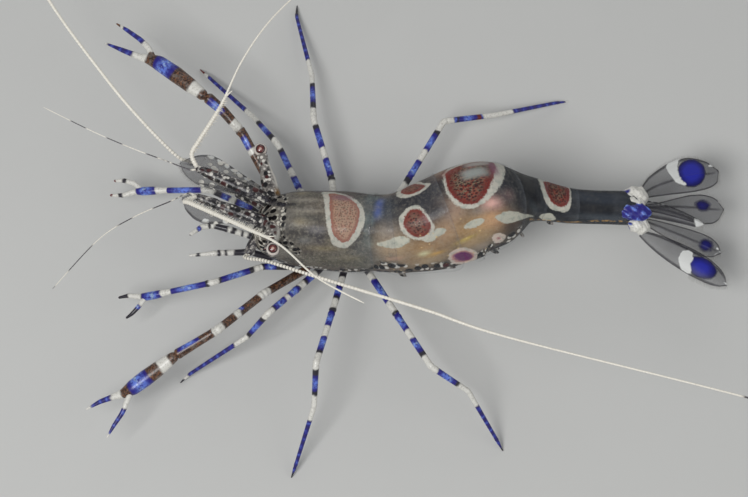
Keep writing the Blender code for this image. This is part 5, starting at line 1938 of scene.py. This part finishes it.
FINS: tuple[Fin, ...] = (
    Fin(
        "uropod_exopod_right", (12.95, 3.15, 2.78), (16.8, 4.7, 2.75), (0.0, 0.2, 1.0),
        ((0.0, -0.16, 0.2), (0.4, -0.24, 0.52), (0.8, -0.34, 0.8), (1.4, -0.5, 1.0), (1.92, -0.66, 1.12),
         (2.5, -0.82, 1.16), (3.06, -0.92, 1.05), (3.5, -0.92, 0.74), (3.85, -0.76, 0.36), (4.08, -0.42, -0.04)),
        "tail_fan", camber=0.16, ribs=(0.42, 0.95), ovals=(Oval(2.82, 0.16, 0.8, 0.68, 66.0),),
        whites=(((1.92, 1.14), (1.78, 0.72), (1.8, 0.25), (1.9, -0.1), (2.08, -0.34), (2.3, -0.34), (2.2, 0.0),
                 (2.26, 0.5), (2.5, 0.98), (2.85, 1.22), (2.3, 1.22)),), dots=(Oval(3.86, 0.16, 0.12, 0.09),),
    ),
    Fin(
        "uropod_exopod_left", (12.95, 1.25, 2.72), (17.05, -1.55, 2.8), (0.0, -0.2, 1.0),
        ((0.0, -0.16, 0.14), (0.6, -0.32, 0.36), (1.2, -0.42, 0.5), (1.81, -0.48, 0.6), (2.4, -0.5, 0.68),
         (3.0, -0.5, 0.72), (3.6, -0.45, 0.7), (4.2, -0.36, 0.58), (4.6, -0.2, 0.38), (4.9, -0.02, 0.08)),
        "tail_fan", camber=0.14, ribs=(0.05, 0.88), ovals=(Oval(3.4, 0.12, 0.78, 0.5, 7.0),),
        whites=(((2.18, 0.34), (2.52, 0.52), (2.8, 0.3), (2.9, -0.05), (3.16, -0.42), (2.9, -0.5), (2.5, -0.42),
                 (2.22, -0.1)),), dots=(Oval(4.78, 0.08, 0.1, 0.06),),
    ),
    Fin(
        "uropod_endopod_right", (12.98, 2.58, 2.66), (16.95, 2.62, 2.6), (0.0, 0.1, 1.0),
        ((0.0, -0.12, 0.12), (0.6, -0.2, 0.22), (1.1, -0.32, 0.32), (1.7, -0.5, 0.5), (2.4, -0.74, 0.68),
         (3.0, -0.88, 0.72), (3.5, -0.86, 0.6), (3.85, -0.6, 0.34), (4.05, -0.26, 0.04)), "tail_fan", camber=0.14,
        ovals=(Oval(3.02, 0.08, 0.36, 0.31, richness=0.4),),
        dots=(Oval(3.86, 0.3, 0.08, 0.06), Oval(0.85, 0.16, 0.1, 0.06)),
    ),
    Fin(
        "uropod_endopod_left", (12.98, 1.98, 2.66), (16.85, 0.25, 2.6), (0.0, -0.1, 1.0),
        ((0.0, -0.12, 0.12), (0.8, -0.26, 0.28), (1.6, -0.38, 0.4), (2.4, -0.46, 0.5), (3.0, -0.5, 0.55),
         (3.5, -0.5, 0.52), (3.9, -0.36, 0.36), (4.2, -0.12, 0.12)), "tail_fan", camber=0.12,
        ovals=(Oval(3.38, 0.04, 0.36, 0.31, richness=0.4),),
        dots=(Oval(4.02, -0.1, 0.1, 0.05, 60.0), Oval(3.96, 0.12, 0.07, 0.05), Oval(4.12, 0.02, 0.06, 0.04)),
    ),
    Fin(
        "telson", (12.55, 2.32, 3.6), (15.85, 1.85, 3.1), (0.0, 0.2, 1.0),
        ((0.0, -0.4, 0.4), (0.5, -0.44, 0.45), (1.1, -0.44, 0.46), (1.8, -0.44, 0.38), (2.5, -0.46, 0.2),
         (3.0, -0.5, 0.02), (3.35, -0.48, -0.12), (3.52, -0.38, -0.24)), "tail_fan", camber=0.22,
        ribs=(0.06, 0.5, 0.94),
        whites=(((3.02, -0.12), (3.3, -0.1), (3.5, -0.24), (3.42, -0.5), (3.16, -0.56), (3.02, -0.36)),),
        dots=(Oval(1.45, 0.4, 0.09, 0.05), Oval(0.9, 0.44, 0.07, 0.04)), fringe=(0.44, 0.56), bristle=0.26,
    ),
    Fin(
        "antenna_scale_right", (-5.55, 2.55, 4.98), (-8.9, 3.8, 5.05), (0.0, 0.4, 1.0),
        ((0.0, -0.34, 0.34), (0.4, -0.48, 0.42), (0.8, -0.6, 0.55), (1.3, -0.76, 0.68), (1.9, -0.96, 0.8),
         (2.4, -1.1, 0.86), (2.9, -1.16, 0.84), (3.4, -0.9, 0.66), (3.8, -0.48, 0.36), (4.05, -0.18, 0.1)),
        "clear_shell", camber=0.12, ribs=(0.04, 0.5), flecks=(2.5, 3.2), edging=0.4,
        dots=(Oval(2.8, -1.0, 0.19, 0.14, -25.0), Oval(2.33, -0.9, 0.17, 0.13, -25.0),
              Oval(1.92, -0.78, 0.17, 0.13, -25.0), Oval(1.56, -0.66, 0.15, 0.12, -25.0),
              Oval(1.22, -0.56, 0.17, 0.13, -25.0), Oval(0.76, -0.42, 0.17, 0.13, -20.0)), fringe=(0.46, 0.92),
        bristle=0.2,
    ),
    Fin(
        "antenna_scale_left", (-5.55, 0.65, 5.22), (-8.75, 1.5, 5.5), (0.0, 0.1, 1.0),
        ((0.0, -0.3, 0.3), (0.5, -0.44, 0.26), (1.0, -0.52, 0.2), (1.5, -0.6, 0.26), (2.0, -0.64, 0.46),
         (2.5, -0.68, 0.6), (3.0, -0.72, 0.52), (3.5, -0.72, 0.2), (3.85, -0.56, -0.22)), "clear_shell",
        camber=0.12, ribs=(0.5, 0.96), flecks=(1.9, 2.7), edging=0.4,
        dots=(Oval(2.45, 0.42, 0.18, 0.13, 20.0), Oval(1.55, 0.18, 0.16, 0.12, 20.0),
              Oval(1.15, 0.12, 0.14, 0.11, 20.0)), fringe=(0.06, 0.5), bristle=0.2,
    ),
)


@dataclass
class Fins:
    """Builds every blade with its ribs, pigment and fringe of fine bristles."""

    bristles: BristleTree
    rows: int = 96
    columns: int = 56
    wall: float = 0.05
    rib_reach: float = 0.05
    rib_rise: float = 0.025
    hair_inputs: tuple[tuple[str, float], ...] = (("Spacing", 0.055 * MM), ("Thickness", 0.022 * MM), ("Splay", 0.12))

    def build(self, finishes: dict[str, Material], hair: Material) -> None:
        """Builds every fin.

        Args:
            finishes: The membrane for each material slot.
            hair: The bristles' material.
        """
        for fin in FINS:
            skin, edge, outward = self.blade(fin)
            settle(mesh_object(fin.node + "_blade", skin, finishes[fin.slot]), fin.slot, fin.node)
            self._fringe(fin, edge, outward, hair)

    def blade(self, fin: Fin) -> tuple[Skin, Array, Array]:
        """Builds one blade's skin.

        Args:
            fin: The blade.

        Returns:
            Its skin, the points of its edge in order, and the way out of the blade at each.
        """
        base, tip = np.array(fin.base), np.array(fin.tip)
        forward = unit(tip - base)
        facing = np.array(fin.facing)
        normal = unit(facing - forward * (facing @ forward))
        sideways = np.cross(normal, forward)
        stops = np.array(fin.outline)
        end = stops[-1, 0]
        # Rows crowd towards the tip, where the outline closes fast.
        run = end * np.sin(np.linspace(0, math.pi / 2, self.rows))
        low, high = (self._eased(run, stops[:, 0], stops[:, k]) for k in (1, 2))
        closing = taper(end + 0.02 - run, 0.3, 0.02)
        centre = (low + high) / 2
        low, high = centre + (low - centre) * closing, centre + (high - centre) * closing
        width = (high - low)[:, None]
        share = np.linspace(0, 1, self.columns)[None, :]
        across = low[:, None] + width * share
        along = np.repeat(run[:, None], self.columns, 1)
        bow = fin.camber * (1 - (2 * share - 1) ** 2) * np.sin(math.pi * np.clip(along / end, 0, 1)) ** 0.5
        rib = np.zeros_like(across)
        for place_across in fin.ribs:
            rib = np.maximum(rib, np.exp(-(((share - place_across) * width / self.rib_reach) ** 2)))
        rib *= 1 - smooth_step(0.85, 1.0, along / end)
        to_edge = np.minimum(np.minimum(share, 1 - share) * width, end - along)
        rib = np.maximum(rib, fin.edging * (1 - smooth_step(0.02, 0.06, to_edge)))
        middle = base + along[..., None] * forward + across[..., None] * sideways + bow[..., None] * normal
        thick = self.wall / 2 * (1 - 0.6 * np.abs(2 * share - 1) ** 4) + self.rib_rise * rib
        values = {"rib": rib * 0.8, "fleck": 1 - smooth_step(*fin.flecks, along)}
        values |= {name: np.full(across.shape, -1.0) for name in ("blue", "white")}
        for oval in fin.ovals:
            values["blue"] = np.maximum(values["blue"], oval.depth(along, across))
        for outline in fin.whites:
            values["white"] = np.maximum(values["white"], depth_inside(along, across, rounded_outline(outline)))
        for dot in fin.dots:
            values["white"] = np.maximum(values["white"], dot.depth(along, across))
        raised = thick[..., None] * normal
        edge, inner = (np.concatenate([middle[:, k], middle[::-1, -1 - k]]) for k in (0, 3))
        out = edge - inner
        outward = unit(out + 0.35 * np.linalg.norm(out, axis=1, keepdims=True) * forward)
        return sheet_skin(middle + raised, middle - raised, values), edge, outward

    @staticmethod
    def _eased(along: Array, stops: Array, values: Array) -> Array:
        """Returns values between stops, with the corners eased."""
        dense = np.linspace(stops[0], stops[-1], 200)
        raw = np.interp(dense, stops, values)
        kernel = np.hanning(27)[1:-1]
        padded = np.pad(raw, 12, "reflect", reflect_type="odd")
        return np.interp(along, dense, np.convolve(padded, kernel / kernel.sum(), "valid"))

    def _fringe(self, fin: Fin, edge: Array, outward: Array, hair: Material) -> None:
        """Grows the fine bristles along part of a blade's edge."""
        share = distance_along(edge)
        share /= share[-1]
        kept = (share > fin.fringe[0]) & (share < fin.fringe[1])
        values = {"out": outward[kept], "reach": np.full(int(kept.sum()), fin.bristle * MM)}
        inputs = dict(self.hair_inputs) | {"Seed": 11, "Finish": hair}
        settle(self.bristles.grow(fin.node + "_fringe", guide_lines([edge[kept]], [values]), inputs), fin.slot)


@dataclass
class Swimmerets:
    """Five pairs of paddles under the tail, each a short stem with two leaves."""

    # station, length, sweep towards the tail in degrees, and how deep the root hangs
    pairs: tuple[tuple[float, float, float, float], ...] = (
        (0.55, 1.3, 25.0, 0.55),
        (2.2, 1.6, 30.0, 0.5),
        (4.6, 1.8, 35.0, 0.45),
        (7.0, 0.95, 45.0, 0.6),
        (8.55, 0.5, 86.0, 0.42),
    )
    spread: float = 0.31
    drop: float = 0.55
    half_width: float = 0.22
    stem_radius: float = 0.13
    leaves: tuple[tuple[float, float], ...] = ((0.1, 1.0), (-0.07, 0.85))  # each leaf's lean and its share of length
    leaf_shape: tuple[Spot, ...] = ((0.0, 0.45), (0.3, 0.95), (0.6, 1.0), (0.85, 0.75), (1.0, 0.3))

    def build(self, fins: Fins, finish: Material) -> None:
        """Builds every paddle.

        Args:
            fins: The maker of blades.
            finish: Their material.
        """
        for number, (x, length, sweep, depth) in enumerate(self.pairs, start=1):
            section, right, back, tail = (rows[0] for rows in TRUNK.directions(np.array([x])))
            angle = math.radians(sweep)
            heading = tail * math.sin(angle) - back * math.cos(angle)
            root = section[:3] - back * (section[5] * depth + self.drop)
            half = self.half_width * min(1.0, length)
            for side in Side:
                base = root + right * side.value * self.spread
                top, bottom = base + back * (self.drop + 0.25), base + 0.25 * length * heading
                skin = self._stem(top, bottom, self.stem_radius)
                for lean, reach in self.leaves:
                    first = base + 0.18 * length * heading + right * lean
                    last = base + length * reach * heading + right * lean * 2.2
                    facing = np.cross(heading, right) + 0.3 * lean * right
                    outline = tuple((t * length * reach * 0.82, -half * w, half * w) for t, w in self.leaf_shape)
                    leaf = Fin("leaf", tuple(first), tuple(last), tuple(facing), outline, "clear_shell", camber=0.05)
                    skin = skin.joined(fins.blade(leaf)[0])
                node = f"pleopod_{number}_{side.word}"
                settle(mesh_object(node + "_paddle", skin, finish), "clear_shell", node)

    @staticmethod
    def _stem(start: Array, end: Array, radius: float) -> Skin:
        """Returns a short rounded stem from start to end."""
        line = even_steps(np.array([start, end]), 0.06)
        t = np.linspace(0, 1, len(line))
        rings = ringed_tube(line, radius * taper(np.minimum(t, 1 - t), 0.12, 0.05), 14, 0.7)
        levels = {"rib": 0.5, "fleck": 0.0, "blue": -1.0, "white": 0.0}
        return tube_skin(rings, {name: np.full(rings.shape[:2], level) for name, level in levels.items()})


@dataclass(frozen=True)
class Knuckle:
    """A crinkled lump of chitin at the root of the tail fan."""

    name: str
    start: Point
    end: Point
    radius: float
    white: float
    violet_from: float  # violet shows before this share of its length


@dataclass
class TailRoot:
    """The crinkled white and violet lumps where the tail ends and the fan begins."""

    knuckles: tuple[Knuckle, ...] = (
        Knuckle("right", (12.0, 2.8, 3.84), (13.28, 2.72, 3.62), 0.5, 1.0, 0.14),
        Knuckle("inner", (12.02, 2.36, 3.98), (13.1, 2.3, 3.8), 0.4, 1.0, 0.02),
        Knuckle("middle", (11.78, 1.9, 4.12), (13.4, 1.88, 3.84), 0.42, 0.0, 1.0),
        Knuckle("left", (12.26, 1.44, 3.66), (13.34, 1.28, 3.36), 0.4, 1.0, 0.06),
    )
    sides: int = 40

    def build(self, finish: Material) -> None:
        """Builds every lump with the given material."""
        for number, knuckle in enumerate(self.knuckles):
            line = even_steps(np.array([knuckle.start, knuckle.end]), 0.025)
            t = np.linspace(0, 1, len(line))
            turn = np.arange(self.sides) * 2 * math.pi / self.sides
            width = knuckle.radius * taper(np.minimum(t, 1 - t), 0.3, 0.02)
            rings = ringed_tube(line, width, self.sides, 0.78)
            around, along = turn[None, :], t[:, None]
            crinkle = 0.07 * np.sin(5 * around + 9 * along + number)
            crinkle = crinkle + 0.06 * np.sin(3 * around - 17 * along + 2 * number)
            crinkle = crinkle + 0.04 * np.sin(9 * around + 31 * along)
            rings = line[:, None] + (rings - line[:, None]) * (1 + crinkle)[..., None]
            edge = knuckle.violet_from + 0.1 * np.sin(4 * around + number)
            violet = 1 - smooth_step(edge - 0.05, edge + 0.05, along)
            values = {"white": knuckle.white * (1 - violet), "blue": np.maximum(violet, 1 - knuckle.white)}
            values["glow"] = values["blue"] * smooth_step(0.0, 0.1, crinkle)
            values |= {name: np.zeros_like(crinkle) for name in ("brown", "red")}
            settle(mesh_object(f"tail_knuckle_{knuckle.name}", tube_skin(rings, values), finish), "tail_fan")


# ---------------------------------------------------------------- studio


@dataclass
class Studio:
    """A pale floor, soft lights and the camera."""

    aim: Point = (0.0, 0.0, 4.0)
    elevation: float = 70.0
    lens: float = 150.0
    sensor: float = 36.0
    width_seen: float = 35.904  # millimetres across the frame at the aim
    floor_colour: str = "#c9c9c6"
    floor_half: float = 3.0  # half the floor's width, in metres
    # for each light, its place, width and watts
    lights: tuple[tuple[str, Point, float, float], ...] = (
        ("key_softbox", (-60.0, -70.0, 150.0), 75.0, 0.185),
        ("fill_softbox", (110.0, -60.0, 110.0), 120.0, 0.035),
        ("back_softbox", (20.0, 130.0, 90.0), 100.0, 0.02),
    )

    def build(self) -> None:
        """Sets up the floor, the lights, the world and the camera."""
        self._floor()
        self._world()
        for light in self.lights:
            self._light(*light)
        self._camera()

    def _floor(self) -> None:
        """Makes the large plain floor."""
        corners = [(x * self.floor_half, y * self.floor_half, 0) for x, y in ((-1, -1), (1, -1), (1, 1), (-1, 1))]
        mesh = bpy.data.meshes.new("studio_floor")
        mesh.from_pydata(corners, [], [(0, 1, 2, 3)])
        paint = Palette("matte_studio_paper", 0.85)
        paint.start(self.floor_colour)
        paint.mottled(0.06, 6.0, "#d4d4d1", "#bebebb")
        mesh.materials.append(paint.finish())
        floor = bpy.data.objects.new("studio_floor", mesh)
        bpy.context.scene.collection.objects.link(floor)

    @staticmethod
    def _world() -> None:
        """Sets an even pale surround."""
        world = bpy.data.worlds.new("pale_surround")
        world.use_nodes = True
        background = world.node_tree.nodes["Background"]
        background.inputs["Color"].default_value = linear("#dfe2e6")
        background.inputs["Strength"].default_value = 0.3
        bpy.context.scene.world = world

    def _light(self, name: str, spot: Point, size: float, watts: float) -> None:
        """Hangs one soft square light, aimed at the animal."""
        lamp = bpy.data.lights.new(name, "AREA")
        lamp.shape = "SQUARE"
        lamp.size = size * MM
        lamp.energy = watts
        made = bpy.data.objects.new(name, lamp)
        made.location = place(spot)
        made.rotation_euler = Vector(place(spot) - place(self.aim)).to_track_quat("Z", "Y").to_euler()
        bpy.context.scene.collection.objects.link(made)

    def _camera(self) -> None:
        """Sets the camera above the animal's left side."""
        angle = math.radians(self.elevation)
        towards = Vector((0.0, -math.cos(angle), math.sin(angle)))
        distance = self.width_seen * self.lens / self.sensor
        data = bpy.data.cameras.new("main_camera")
        data.lens = self.lens
        data.sensor_width = self.sensor
        data.clip_start = 0.001
        data.clip_end = 20.0
        camera = bpy.data.objects.new("main_camera", data)
        up = Vector((0.0, math.sin(angle), math.cos(angle)))
        turn = Matrix((up.cross(towards), up, towards)).transposed().to_4x4()
        spot = Vector(place(self.aim)) + towards * distance * MM
        camera.matrix_world = Matrix.Translation(spot) @ turn
        bpy.context.scene.collection.objects.link(camera)
        bpy.context.scene.camera = camera
        bpy.context.scene.view_settings.view_transform = "Standard"


def main() -> None:
    """Builds the whole shrimp and its studio."""
    logging.basicConfig(level=logging.INFO, format="%(message)s")
    Studio().build()
    flesh, clear, banded = FleshFinish().make(), ClearShellFinish().make(), BandedFinish().make()
    speckled, cream = SpeckledFinish().make(), FeelerFinish().make()
    hair = FeelerFinish("clear_bristle_chitin", cream="#b9b5ac", gap="#8f8c88").make()
    scale = MembraneFinish("speckled_scale_membrane", film="#3c3a40", film_cover=0.34).make()
    fan = MembraneFinish("tail_fan_membrane", film="#34333b", film_cover=0.3).make()
    stalks = SpeckledFinish(
        "dotted_eyestalk_chitin", ground="#77726d", fleck_mm=0.2, fleck_share=0.35, dot_mm=0.34, dot_size=0.42
    ).make()
    Flesh().build(flesh)
    ShellPlates().build(clear)
    Head().build(speckled, stalks, EyeFinish().make(), cornea_finish())
    Rostrum().build(scale)
    for limb in (*WALKING_LEGS, *CLAWED_LIMBS):
        limb.build(banded)
    whips, bristles = RingedFeelerTree(), BristleTree()
    Feelers(whips, bristles).build(cream)
    Fins(bristles).build({"clear_shell": scale, "tail_fan": fan}, hair)
    Swimmerets().build(Fins(bristles, rows=36, columns=22), stalks)
    TailRoot().build(banded)


if __name__ == "__main__":
    main()
